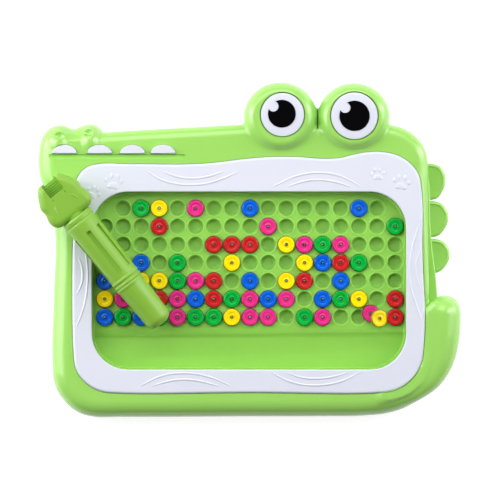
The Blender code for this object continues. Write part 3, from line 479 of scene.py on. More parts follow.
def pick_all(obj):
    activate(obj)
    bpy.ops.object.mode_set(mode="EDIT")
    bpy.ops.mesh.select_mode(type="VERT")
    bpy.ops.mesh.select_all(action="SELECT")


def clean(obj):
    """Merges doubled points and turns every face outwards."""
    pick_all(obj)
    bpy.ops.mesh.remove_doubles(threshold=WELD)
    bpy.ops.mesh.normals_make_consistent(inside=False)
    leave()
    return obj


def settle(obj):
    """Puts the object's place into its mesh."""
    activate(obj)
    bpy.ops.object.transform_apply(location=True, rotation=True, scale=True)
    return obj


def modified(obj, kind, **settings):
    """Applies one modifier with these settings."""
    activate(obj)
    modifier = obj.modifiers.new(kind.lower(), kind)
    for key, value in settings.items():
        setattr(modifier, key, value)
    bpy.ops.object.modifier_apply(modifier=modifier.name)
    return obj


def combined(obj, tool, operation):
    modified(obj, "BOOLEAN", operation=operation, solver="MANIFOLD", object=tool)
    bpy.data.objects.remove(tool)
    return obj


def cut(obj, *tools):
    for tool in tools:
        combined(obj, tool, "DIFFERENCE")
    return obj


def add(obj, *tools):
    for tool in tools:
        combined(obj, tool, "UNION")
    return obj


def joined(name, objs):
    """Several meshes as one object, their surfaces as they are."""
    bpy.ops.object.select_all(action="DESELECT")
    for obj in objs:
        obj.select_set(True)
    bpy.context.view_layer.objects.active = objs[0]
    bpy.ops.object.join()
    objs[0].name = name
    return objs[0]


def copied(obj, name, shift=(0, 0, 0)):
    """A copy with its own mesh, moved by shift."""
    activate(obj)
    bpy.ops.object.duplicate()
    twin = bpy.context.object
    twin.name = name
    twin.data.transform(Matrix.Translation(shift))
    return twin


def curve_through(name, points, corners=(), steps=6, cyclic=False):
    """A Bezier curve through the points, smooth but for its numbered corners."""
    bpy.ops.object.select_all(action="DESELECT")
    bpy.ops.curve.primitive_bezier_curve_add()
    obj = bpy.context.object
    obj.name = name
    obj.data.resolution_u = steps
    spline = obj.data.splines[0]
    spline.bezier_points.add(len(points) - len(spline.bezier_points))
    spline.use_cyclic_u = cyclic
    for index, (knot, point) in enumerate(zip(spline.bezier_points, points)):
        kind = "VECTOR" if index in corners else "AUTO"
        knot.co = point
        knot.handle_left_type = kind
        knot.handle_right_type = kind
    return obj


def meshed(obj):
    activate(obj)
    bpy.ops.object.convert(target="MESH")
    return bpy.context.object


def slab(name, points, low, high, corners=(), grow=0.0, steps=6):
    """A flat slab whose outline runs smoothly through the points, moved outwards by grow."""
    obj = curve_through(name, [(*point, 0) for point in points], corners, steps, cyclic=True)
    obj.data.dimensions = "2D"
    obj.data.fill_mode = "BOTH"
    obj.data.offset = grow
    obj.data.extrude = (high - low) / 2
    obj = clean(meshed(obj))
    pick(obj, "FACE", lambda face, corners: abs(face.normal.z) > 0.5)
    bpy.ops.mesh.dissolve_faces()
    leave()
    clean(obj)
    obj.data.transform(Matrix.Translation((0, 0, (low + high) / 2)))
    return obj


def straight_slab(name, points, low, high):
    return slab(name, points, low, high, corners=range(len(points)), steps=1)


def round_edges(obj, on_edge, width, segments):
    """Rounds the edges whose two ends both pass the test."""
    pick(obj, "EDGE", lambda edge, ends: all(on_edge(end) for end in ends))
    bpy.ops.mesh.bevel(offset=width, segments=segments, profile=0.5, affect="EDGES", clamp_overlap=False)
    leave()
    return obj


def round_rim(obj, height, width, segments):
    """Rounds the edge all round a flat end of a slab."""
    return round_edges(obj, lambda end: abs(end.z - height) < WELD, width, segments)


def bar_along_x(name, section, left, right):
    """A straight bar with a section of (y, z) points."""
    obj = straight_slab(name, section, left, right)
    obj.data.transform(Matrix(((0, 0, 1, 0), (1, 0, 0, 0), (0, 1, 0, 0), (0, 0, 0, 1))))
    return obj


def cushion(name, points, low, high, width, squash):
    """A slab whose upper edge rolls over in a curve squash times as high as it is wide."""
    obj = slab(name, points, (low - high) / squash, 0)
    round_rim(obj, 0, width, 8)
    obj.data.transform(Matrix.Translation((0, 0, high)) @ Matrix.Diagonal((1, 1, squash, 1)))
    return obj


def turned(name, profile, sides):
    """A profile of (radius, height) points spun about Z."""
    points = [(radius, 0, height) for radius, height in profile]
    obj = meshed(curve_through(name, points, corners=range(len(points)), steps=1))
    pick_all(obj)
    bpy.ops.mesh.spin(steps=sides, angle=2 * math.pi, center=(0, 0, 0), axis=(0, 0, 1))
    leave()
    return clean(obj)


def rod(name, points, radii, steps=6, facets=8):
    """A round rod along the points, with a radius at each."""
    obj = curve_through(name, points, steps=steps)
    obj.data.bevel_depth = 1
    obj.data.bevel_resolution = facets
    obj.data.use_fill_caps = True
    for knot, radius in zip(obj.data.splines[0].bezier_points, radii):
        knot.radius = radius
    return clean(meshed(obj))


def primitive(kind, name, scale=(1, 1, 1), **settings):
    """A new primitive at its size and place, as the only selected object."""
    bpy.ops.object.select_all(action="DESELECT")
    getattr(bpy.ops.mesh, f"primitive_{kind}_add")(**settings)
    obj = bpy.context.object
    obj.name = name
    obj.scale = scale
    return settle(obj)


def ball(name, centre, radii, segments=48):
    return primitive(
        "uv_sphere", name, radii, segments=segments, ring_count=segments // 2, radius=1, location=centre,
    )


def block(name, low, high):
    low, high = Vector(low), Vector(high)
    return primitive("cube", name, high - low, size=1, location=(low + high) / 2)


def posts(name, centres, radius, low, high, sides=BOSS_SIDES):
    """Upright round posts, one at each centre."""
    size = {"vertices": sides, "radius": radius, "depth": high - low}
    return joined(name, [
        primitive("cylinder", name, location=(x, y, (low + high) / 2), **size) for x, y in centres
    ])


def arc(centre, radius, start, end, steps, rise=None):
    """Points on an arc, or on an ellipse whose half height is rise. Turns are in degrees."""
    rise = radius if rise is None else rise
    turns = [math.radians(start + (end - start) * index / steps) for index in range(steps + 1)]
    return [(centre[0] + radius * math.cos(turn), centre[1] + rise * math.sin(turn)) for turn in turns]


def stepped(radius, at, steps):
    """Profile points set off from a radius and a place on the axis."""
    return [(radius + out, at + along) for out, along in steps]


def view_outline(margin):
    """The window opening's rounded rectangle, grown by a margin."""
    radius = VIEW_RADIUS + margin
    inset = VIEW_RADIUS
    left, right = VIEW_LOW.x + inset, VIEW_HIGH.x - inset
    foot, top = VIEW_LOW.y + inset, VIEW_HIGH.y - inset
    points = []
    for quarter, centre in enumerate(((right, top), (left, top), (left, foot), (right, foot))):
        points += arc(centre, radius, 90 * quarter, 90 * (quarter + 1), VIEW_CORNER_STEPS)
    return points


def middle_of(node):
    low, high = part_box(node)
    return (low + high) / 2


def screw_centres():
    return [tuple(middle_of("screw_" + name).xy) for name in SCREW_NAMES]


def paint(obj, material):
    obj.data.materials.clear()
    obj.data.materials.append(material)


def finish_piece(obj, name, material, body, slot, nodes=(), even=False):
    """Names, colours and shades a finished piece, and lets it ride on its body in place of its CAD nodes."""
    obj.name = name
    obj.data.name = name
    paint(obj, material)
    activate(obj)
    bpy.ops.object.shade_smooth_by_angle(angle=math.radians(SHARP_ANGLE))
    if even:
        modified(obj, "WEIGHTED_NORMAL", keep_sharp=True)
    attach(obj, body)
    if nodes:
        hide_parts(*nodes)
    return obj


def add_node(tree, kind, settings=None, links=None):
    """Adds a node, sets its properties or sockets by name or number, and links outputs to its inputs."""
    node = tree.nodes.new(kind)
    for key, value in (settings or {}).items():
        if isinstance(key, int) or key in node.inputs:
            node.inputs[key].default_value = value
        else:
            setattr(node, key, value)
    for key, output in (links or {}).items():
        tree.links.new(output, node.inputs[key])
    return node


def plain_material(name):
    material = bpy.data.materials.new(name)
    material.use_nodes = True
    return material, material.node_tree, material.node_tree.nodes["Principled BSDF"]


def shade_of(colour, factor):
    return (*(min(1.0, part * factor) for part in colour[:3]), 1.0)


def moulded_plastic(name, colour, roughness, ior, grain, relief, drift=0.02):
    """An injection-moulded plastic: even colour with a slight drift of tone, and a fine moulded grain."""
    material, tree, shader = plain_material(name)
    at = add_node(tree, "ShaderNodeTexCoord").outputs["Object"]
    flow = add_node(tree, "ShaderNodeTexNoise", {"Scale": 1 / FLOW_SIZE, "Detail": 2.0}, {"Vector": at})
    tone = add_node(
        tree, "ShaderNodeMix",
        {"data_type": "RGBA", 6: shade_of(colour, 1 - drift), 7: shade_of(colour, 1 + drift)},
        {"Factor": flow.outputs["Fac"]},
    )
    grit = add_node(tree, "ShaderNodeTexNoise", {"Scale": 1 / grain, "Detail": 3.0}, {"Vector": at})
    bump = add_node(
        tree, "ShaderNodeBump", {"Distance": relief, "Strength": 0.6}, {"Height": grit.outputs["Fac"]},
    )
    gloss = add_node(
        tree, "ShaderNodeMapRange", {"To Min": roughness - GLOSS_DRIFT, "To Max": roughness + GLOSS_DRIFT},
        {"Value": flow.outputs["Fac"]},
    )
    tree.links.new(tone.outputs[2], shader.inputs["Base Color"])
    tree.links.new(gloss.outputs["Result"], shader.inputs["Roughness"])
    tree.links.new(bump.outputs["Normal"], shader.inputs["Normal"])
    shader.inputs["IOR"].default_value = ior
    return material


def mark_painted_shade(obj, painted_shade_at):
    """Writes how much painted shade darkens the colour at each point of a piece, from 0 to 1."""
    depth = obj.data.attributes.new("depth", "FLOAT", "POINT")
    for item, vertex in zip(depth.data, obj.data.vertices):
        item.value = painted_shade_at(vertex.co)
    return obj


def paint_shade(material, tone):
    """Paints shade: multiplies a plastic's colour by the tone, as far as the piece's own depth attribute of
    painted shade says.
    """
    tree = material.node_tree
    base = tree.nodes["Principled BSDF"].inputs["Base Color"]
    # The 'depth' attribute holds the share of painted shade at each point
    depth = add_node(tree, "ShaderNodeAttribute", {"attribute_name": "depth"})
    shaded = add_node(
        tree, "ShaderNodeMix", {"data_type": "RGBA", "blend_type": "MULTIPLY", 7: tone},
        {"Factor": depth.outputs["Fac"], 6: base.links[0].from_socket},
    )
    tree.links.new(shaded.outputs[2], base)


def turned_steel(name, colour, roughness):
    """Zinc-plated or bright steel: fine rings and specks from machining, seen as a broken highlight."""
    material, tree, shader = plain_material(name)
    at = add_node(tree, "ShaderNodeTexCoord").outputs["Object"]
    specks = add_node(tree, "ShaderNodeTexNoise", {"Scale": 1 / STEEL_SPECK, "Detail": 4.0}, {"Vector": at})
    gloss = add_node(
        tree, "ShaderNodeMapRange", {"To Min": roughness - 0.1, "To Max": roughness + 0.12},
        {"Value": specks.outputs["Fac"]},
    )
    bump = add_node(
        tree, "ShaderNodeBump", {"Distance": STEEL_RELIEF, "Strength": 0.5},
        {"Height": specks.outputs["Fac"]},
    )
    shader.inputs["Base Color"].default_value = colour
    shader.inputs["Metallic"].default_value = 1.0
    tree.links.new(gloss.outputs["Result"], shader.inputs["Roughness"])
    tree.links.new(bump.outputs["Normal"], shader.inputs["Normal"])
    return material


def clear_polystyrene(name, colour):
    """Clear crystal polystyrene sheet: nearly colourless, glossy, and it lets the lamps through."""
    material, tree, shader = plain_material(name)
    shader.inputs["Base Color"].default_value = colour
    shader.inputs["Transmission Weight"].default_value = 1.0
    shader.inputs["Roughness"].default_value = 0.03
    shader.inputs["IOR"].default_value = 1.30
    through = add_node(tree, "ShaderNodeBsdfTransparent", {"Color": colour})
    path = add_node(tree, "ShaderNodeLightPath")
    mix = add_node(
        tree, "ShaderNodeMixShader", None,
        {"Fac": path.outputs["Is Shadow Ray"], 1: shader.outputs["BSDF"], 2: through.outputs["BSDF"]},
    )
    tree.links.new(mix.outputs["Shader"], tree.nodes["Material Output"].inputs["Surface"])
    return material


def length(name, description, default):
    """A size that a user would change."""
    return bpy.props.FloatProperty(
        name=name, description=description, default=default, min=0.0, precision=5, subtype="DISTANCE",
        unit="LENGTH",
    )


def power(name, description, default):
    """A lamp's power that a user would change."""
    return bpy.props.FloatProperty(name=name, description=description, default=default, min=0.0, unit="POWER")


def tint(name, description, code):
    """A colour that a user would change, given as an sRGB hex code."""
    return bpy.props.FloatVectorProperty(
        name=name, description=description, default=linear(code), size=4, min=0.0, max=1.0, subtype="COLOR",
    )


class BodySettings(bpy.types.PropertyGroup):
    pillow_round: length("Pillow rounding", "Rounding of the left and foot borders", 0.0120)
    edge_round: length("Edge rounding", "Rounding of the top border", 0.0078)
    skin_grid: length("Skin grid", "Spacing of the grid that blends the moulded forms", 0.0010)
    softening: bpy.props.IntProperty(
        name="Softening", description="Passes that soften the creases between the forms", default=5, min=0,
    )
    green: tint("Body green", "Colour of the two body halves", "#A7E66B")


class BezelSettings(bpy.types.PropertyGroup):
    edge_round: length("Edge rounding", "Rounding of the bezel's outer edge", 0.0019)
    lip_round: length("Lip rounding", "Rounding of the edge of the window opening", 0.0008)
    ridge_radius: length("Ridge radius", "Radius of the raised arcs", 0.0009)
    relief: length("Relief", "Height of the arcs and paw prints", 0.0005)
    white: tint("Bezel white", "Colour of the bezel, teeth and eyes", "#E9ECF9")


class TraySettings(bpy.types.PropertyGroup):
    dimple_radius: length("Dimple radius", "Radius of a dimple's straight wall at its mouth", 0.00545)
    dimple_depth: length("Dimple depth", "Depth of a dimple", 0.0036)
    lip: length("Dimple lip", "Rounding of a dimple's lip", 0.0006)
    draft: length("Wall draft", "How far the tray's walls lean in at the floor", 0.0012)
    # The collars show this green; the painted shade darkens the field, the trough and the dimples from it
    green: tint("Tray green", "Colour of the bead tray", "#97CF55")


class FaceSettings(bpy.types.PropertyGroup):
    crown: length("Eye crown", "How far an eye's white rises in its middle", 0.0004)
    tooth_proud: length("Tooth height", "How far the teeth stand over the body", 0.0020)
    eye_gap: length("Eye gap", "Width of the dark gap round the eyes", 0.0008)
    black: tint("Pupil black", "Colour of the pupils", "#050507")


class BeadSettings(bpy.types.PropertyGroup):
    edge: length("Bead edge", "Width of the rounding of a bead's rim", 0.0011)
    ring_width: length("Ring width", "Width of the raised ring round a bead's face", 0.0018)
    recess: length("Recess", "Depth of the ring's inner step", 0.0005)
    core_radius: length("Core radius", "Radius of the steel core", 0.0008)
    red: tint("Red", "Colour of the red beads", "#C31E20")
    yellow: tint("Yellow", "Colour of the yellow beads", "#FFD800")
    green: tint("Green", "Colour of the green beads", "#00A436")
    blue: tint("Blue", "Colour of the blue beads", "#005AD2")
    pink: tint("Pink", "Colour of the pink beads", "#E02A80")


class PenSettings(bpy.types.PropertyGroup):
    head_round: length("Head rounding", "Rounding of the pen head's two faces", 0.0048)
    head_grid: length("Head grid", "Spacing of the grid that blends the pen head's forms", 0.0006)
    green: tint("Pen green", "Colour of the pen", "#8FC442")


class StageSettings(bpy.types.PropertyGroup):
    camera_height: length("Camera height", "Height of the camera over the body's top", 2.4)
    frame_width: length("Frame width", "Width that the camera takes in at the body's top", 0.35715)
    key_power: power("Top lamp", "Power of the soft lamp beyond the eyes", 10.0)
    left_power: power("Left panel", "Power of the tall soft panel at the left", 15.0)
    right_power: power("Right panel", "Power of the tall soft panel at the right", 11.0)
    strip_power: power("Strips", "Power of each of the two narrow strips before the panels", 4.5)
    sky: bpy.props.FloatProperty(
        name="Surround", description="Strength of the pale surround", default=0.36, min=0.0,
    )
    paper: tint("Floor", "Colour of the floor", "#B0B0B0")
    paper_glow: bpy.props.FloatProperty(
        name="Floor glow", description="How far the floor is lifted to white for the camera", default=0.86,
        min=0.0,
    )


def dome(name):
    radius = DOME_RADIUS[name]
    spring = (DOME_FLAT_RADIUS, DOME_SPRING)
    side = arc(spring, radius - DOME_FLAT_RADIUS, 90, 0, DOME_STEPS, DOME_TOP - DOME_SPRING)
    obj = turned("dome_" + name, [(0, DOME_TOP), *side, (radius, -UNDERCUT), (0, -UNDERCUT)], DOME_SIDES)
    squashed = Matrix.Diagonal((1, DOME_TALL_SHARE, 1, 1))
    obj.data.transform(Matrix.Translation((*place(DOME_SHARES[name]), 0)) @ squashed)
    return obj


def tail():
    """The tail's roll over its upright base."""
    points = [(x, y, top - radius) for x, y, radius, top in TAIL_RUN]
    radii = [radius for x, y, radius, top in TAIL_RUN]
    roll = rod("tail_roll", points, radii, facets=12)
    tip = ball("tail_tip", points[0], [radii[0]] * 3)
    base = slab("tail_base", places(TAIL_SHARES), -UNDERCUT, TAIL_BASE_TOP, TAIL_CORNERS)
    round_rim(base, -UNDERCUT, BASE_ROUND, 3)
    fill = cushion(
        "tail_fill", places(TAIL_FILL_SHARES), STEP_TOP, TAIL_FILL_TOP, TAIL_FILL_WIDTH, TAIL_FILL_SQUASH,
    )
    return [roll, tip, base, fill]


def body_skin(settings):
    """The board's whole outside, its forms blended into one soft moulded skin."""
    pillow = slab("pillow", places(PILLOW_SHARES), -UNDERCUT, BODY_TOP, grow=GAP)
    round_rim(pillow, BODY_TOP, settings.pillow_round, 8)
    round_rim(pillow, -UNDERCUT, BASE_ROUND, 3)
    ridge = slab("ridge", places(RIDGE_SHARES), -UNDERCUT, BODY_TOP, grow=2 * GAP)
    round_rim(ridge, BODY_TOP, settings.edge_round, 6)
    round_rim(ridge, -UNDERCUT, BASE_ROUND, 3)
    lobes = []
    for number, (x, y, half_wide, half_long, top) in enumerate(LOBES, 1):
        lobes.append(ball(f"lobe_{number}", (x, y, LOBE_EQUATOR), (half_wide, half_long, top - LOBE_EQUATOR)))
    web_x, web_y = place(WEB_SHARE)
    wide, long, tall = WEB_SIZE
    web = block(
        "web", (web_x - wide / 2, web_y - long / 2, WEB_BASE),
        (web_x + wide / 2, web_y + long / 2, WEB_BASE + tall),
    )
    skin = joined("skin", [pillow, ridge, *lobes, dome("left"), dome("right"), web, *tail()])
    modified(skin, "REMESH", mode="VOXEL", voxel_size=settings.skin_grid, use_smooth_shade=True)
    modified(skin, "SMOOTH", factor=0.5, iterations=settings.softening)
    for name in DOME_SHARES:
        soften_crease(skin, name)
    add(halved(skin, 0, upper=True), *right_border())
    return cut(skin, block("slit", SLIT_LOW, SLIT_HIGH))


def right_border():
    """The two crisp levels of the right border, outside the bezel."""
    step = slab("step", places(STEP_SHARES), -UNDERCUT, STEP_TOP)
    round_rim(step, STEP_TOP, STEP_ROUND, 4)
    round_rim(step, -UNDERCUT, BASE_ROUND, 3)
    halved(step, 0, upper=True)
    shoulder = cushion(
        "shoulder", places(SHOULDER_SHARES), SHOULDER_FOOT, BODY_TOP, SHOULDER_WIDTH, SHOULDER_SQUASH,
    )
    return [step, shoulder]


def lobe_height(lobe, at):
    """The height of a nostril bump's surface at a place."""
    x, y, half_wide, half_long, top = lobe
    off = math.hypot((at[0] - x) / half_wide, (at[1] - y) / half_long)
    return LOBE_EQUATOR + (top - LOBE_EQUATOR) * math.sqrt(1 - off ** 2)


def soften_crease(skin, name):
    """Softens the crease where a dome rises from the body."""
    centre = Vector(place(DOME_SHARES[name]))
    (near, far), (low, high) = DOME_CREASE

    def in_crease(point):
        beside = point.y < centre.y + near / 2 and near < (point.xy - centre).length < far
        return low < point.z < high and beside

    pick(skin, "VERT", lambda vertex, corners: in_crease(vertex.co))
    bpy.ops.mesh.vertices_smooth(factor=0.5, repeat=CREASE_PASSES)
    leave()


def scale(number, shares):
    """One back scale: a flat plate with a raised, rounded rim."""
    obj = slab(f"scale_{number}", places(shares), BASE_ROUND / 2, SCALE_TOP, SCALE_CORNERS)
    round_rim(obj, BASE_ROUND / 2, SCALE_ROUND, 3)
    round_rim(obj, SCALE_TOP, SCALE_ROUND, 4)
    face = slab(
        "scale_face", places(shares), SCALE_TOP - SCALE_RIM_HEIGHT, SCALE_TOP + OVERRUN, SCALE_CORNERS,
        grow=-SCALE_RIM_WIDTH,
    )
    round_rim(face, SCALE_TOP - SCALE_RIM_HEIGHT, SCALE_RIM_HEIGHT * 0.6, 3)
    return cut(obj, face)


def halved(obj, height, upper):
    """Leaves only the part over or under a height, closed there by one face."""
    pick_all(obj)
    bpy.ops.mesh.bisect(
        plane_co=(0, 0, height), plane_no=(0, 0, 1), use_fill=True, clear_inner=upper, clear_outer=not upper,
        threshold=WELD / 10,
    )
    leave()
    return clean(obj)


def tooth(name, share, low, high, margin):
    base = TOOTH_BASE - margin
    across = TOOTH_WIDTH / 2 + margin
    points = arc((share * BOARD_WIDTH, base), across, 0, 180, TOOTH_STEPS, TOOTH_HEIGHT + 2 * margin)
    return straight_slab(name, points, low, high)


def strip_block(name, margin, low, high):
    left = TOOTH_X_SHARES[0] * BOARD_WIDTH - TOOTH_WIDTH / 2
    right = TOOTH_X_SHARES[-1] * BOARD_WIDTH + TOOTH_WIDTH / 2 + margin
    return block(
        name, (left - margin, TOOTH_BASE - margin, low), (right, TOOTH_BASE + TOOTH_HEIGHT + margin, high),
    )


def mouth_groove():
    """The cutter for the mouth: upright under the teeth, a flat floor, a slope up to a low upright lip."""
    foot = MOUTH_TOP - MOUTH_WIDTH
    floor = BODY_TOP - MOUTH_DEPTH
    section = (
        (MOUTH_TOP, floor), (MOUTH_TOP - MOUTH_FLOOR_WIDTH, floor), (foot, BODY_TOP - MOUTH_LIP),
        (foot, BODY_TOP + OVERRUN), (MOUTH_TOP, BODY_TOP + OVERRUN),
    )
    return bar_along_x("mouth", section, MOUTH_LEFT, MOUTH_RIGHT)


def eye_middle(name):
    return middle_of("eye_white_" + name)


def eye_radius(name):
    low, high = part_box("eye_white_" + name)
    return (high.y - low.y) / 2


def eye_pocket_radius(name):
    """The pocket's radius, which leaves the dark gap round an eye's white."""
    return eye_radius(name) + bpy.context.scene.drawing_board_face.eye_gap


class DRAWINGBOARD_OT_body(bpy.types.Operator):
    """Moulds the crocodile's front shell and rear cover from one soft skin"""

    bl_idname = "drawing_board.body"
    bl_label = "Body halves"

    def execute(self, context):
        settings = context.scene.drawing_board_body
        # High-impact polystyrene, moulded with a satin finish: soft wide highlights and a whisper of grain
        green = moulded_plastic(
            "satin_moulded_polystyrene", settings.green, roughness=0.26, ior=1.59, grain=ABS_GRAIN,
            relief=ABS_RELIEF,
        )
        shader = green.node_tree.nodes["Principled BSDF"]
        shader.inputs["Coat Weight"].default_value = 0.5
        shader.inputs["Coat Roughness"].default_value = 0.2
        skin = body_skin(settings)
        add(skin, *(scale(number, shares) for number, shares in enumerate(SCALE_SHARES, 1)))
        front = halved(copied(skin, "front"), PARTING_HIGH, upper=True)
        rear = halved(skin, PARTING_LOW, upper=False)
        self.cut_front(front)
        self.cut_rear(rear)
        finish_piece(front, "moulded_front", green, "board", "body_green", ["front_shell"])
        finish_piece(rear, "moulded_rear", green, "board", "body_green", ["rear_cover"])
        return {"FINISHED"}

    def cut_front(self, front):
        pocket_reach = SEAT + GAP
        strip_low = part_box("tooth_strip")[0].z
        cut(front, slab("cavity", places(CAVITY_SHARES), 0, LEDGE_BOTTOM))
        add(front, posts("bosses", screw_centres(), BOSS_RADIUS, PARTING_HIGH, LEDGE_BOTTOM + OVERRUN))
        cut(
            front,
            posts("pilots", screw_centres(), SCREW_RADIUS + GAP, 0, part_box("screw_crown")[1].z + GAP),
            slab("recess", places(BEZEL_SHARES), RECESS_FLOOR, BEZEL_TOP + OVERRUN, grow=GAP, steps=8),
            straight_slab("pocket", view_outline(pocket_reach), LEDGE_TOP, BEZEL_TOP),
            straight_slab("through", view_outline(WALL + GAP), 0, LEDGE_TOP + OVERRUN),
            strip_block("strip_room", STRIP_MARGIN + GAP, LEDGE_BOTTOM - OVERRUN, strip_low + WALL),
            *(tooth("slot", share, strip_low, BODY_TOP + 2 * OVERRUN, GAP) for share in TOOTH_X_SHARES),
            mouth_groove(),
            *(self.nostril(at, lobe) for at, lobe in zip(NOSTRILS, LOBES)),
            *(self.eye_pocket(side) for side in DOME_SHARES),
            *(self.moat(side) for side in DOME_SHARES),
        )

    def nostril(self, at, lobe):
        radii = (NOSTRIL_RADIUS, NOSTRIL_RADIUS, NOSTRIL_DEPTH)
        return ball("nostril", (*at, lobe_height(lobe, at)), radii, 32)

    def eye_pocket(self, side):
        return posts(
            "eye_pocket", [eye_middle(side).xy], eye_pocket_radius(side), EYE_FOOT - GAP, DOME_TOP + OVERRUN,
            EYE_SIDES,
        )

    def moat(self, side):
        """The cutter for a narrow deep ring round an eye's white."""
        inner = eye_radius(side) - GAP
        outer = eye_pocket_radius(side)
        top = EYE_FOOT + GAP
        foot = EYE_FOOT - MOAT_DEPTH
        profile = [(inner, top), (inner, foot), (outer, foot), (outer, top), (inner, top)]
        ring = turned("moat", profile, EYE_SIDES)
        ring.data.transform(Matrix.Translation((*eye_middle(side).xy, 0)))
        return ring

    def cut_rear(self, rear):
        bore = SCREW_HEAD_RADIUS + GAP
        cut(rear, slab("cavity", places(CAVITY_SHARES), WALL, PARTING_LOW + OVERRUN))
        add(rear, posts("rear_bosses", screw_centres(), bore + REAR_BOSS_WALL, WALL / 2, PARTING_LOW))
        cut(
            rear,
            posts("counterbores", screw_centres(), bore, -OVERRUN, COUNTERBORE_DEPTH),
            posts("clearances", screw_centres(), SCREW_RADIUS + GAP, 0, PARTING_LOW + OVERRUN),
        )


def paw(name, x, y, height, turn, relief):
    """One generic paw print: a palm of three pads and four toes, low and soft-edged."""
    obj, *rest = [
        ball(name, (pad_x * height, pad_y * height, 0), (half_wide * height, half_tall * height, relief), 20)
        for pad_x, pad_y, half_wide, half_tall in PAW_PAD_SHARES
    ]
    add(obj, *rest)
    turned_by = Matrix.Rotation(math.radians(turn), 4, "Z")
    obj.data.transform(Matrix.Translation((x, y, BEZEL_TOP - GAP / 6)) @ turned_by)
    return obj


class DRAWINGBOARD_OT_bezel(bpy.types.Operator):
    """Moulds the white bezel with its raised arcs and paw prints"""

    bl_idname = "drawing_board.bezel"
    bl_label = "Bezel"

    def execute(self, context):
        settings = context.scene.drawing_board_bezel
        # White ABS with a cool tint, moulded with a fine satin grain: matt highlights along its rounded edge
        white = moulded_plastic(
            "satin_moulded_white_abs", settings.white, roughness=0.42, ior=1.54, grain=ABS_GRAIN,
            relief=ABS_RELIEF, drift=0.015,
        )
        bezel = slab("bezel", places(BEZEL_SHARES), BEZEL_BOTTOM, BEZEL_TOP, steps=8)
        round_rim(bezel, BEZEL_TOP, settings.edge_round, 5)
        cut(bezel, straight_slab("opening", view_outline(0), BEZEL_BOTTOM - OVERRUN, BEZEL_TOP + OVERRUN))
        self.round_lip(bezel, settings.lip_round)
        sink = settings.ridge_radius - settings.relief
        for number, line in enumerate(RIDGE_LINES, 1):
            radii = [settings.ridge_radius] * len(line)
            radii[0] = radii[-1] = settings.ridge_radius * RIDGE_END_SHARE
            points = [(*point, BEZEL_TOP - sink) for point in line]
            add(bezel, rod(f"ridge_{number}", points, radii, facets=4))
        for number, print_place in enumerate(PAWS, 1):
            add(bezel, paw(f"paw_{number}", *print_place, settings.relief))
        finish_piece(bezel, "moulded_bezel", white, "board", "bezel_white", ["bezel"], even=True)
        return {"FINISHED"}

    def round_lip(self, bezel, width):
        """Rounds the upper edge of the window opening."""
        low, high = VIEW_LOW, VIEW_HIGH

        def on_lip(point):
            inside = low.x - GAP < point.x < high.x + GAP and low.y - GAP < point.y < high.y + GAP
            return inside and abs(point.z - BEZEL_TOP) < WELD

        round_edges(bezel, on_lip, width, 3)


class DRAWINGBOARD_OT_window(bpy.types.Operator):
    """Cuts the window over the beads from clear sheet"""

    bl_idname = "drawing_board.window"
    bl_label = "Window"

    def execute(self, context):
        pane = straight_slab("pane", view_outline(SEAT), WINDOW_BOTTOM, WINDOW_TOP)
        clear = clear_polystyrene("clear_polystyrene_sheet", linear("#FBFFFD"))
        finish_piece(pane, "clear_window", clear, "board", "window_clear", ["window"])
        return {"FINISHED"}


def dimple_place(row, column):
    """Where a dimple is, worked out from two beads that the model holds."""
    first = middle_of("bead_blue_6_0")
    last = middle_of("bead_green_1_16")
    across = (last.x - first.x) / (DIMPLE_COLUMNS - 1)
    down = (last.y - first.y) / (DIMPLE_ROWS - 2)
    return (first.x + column * across, last.y - (row - 1) * down)


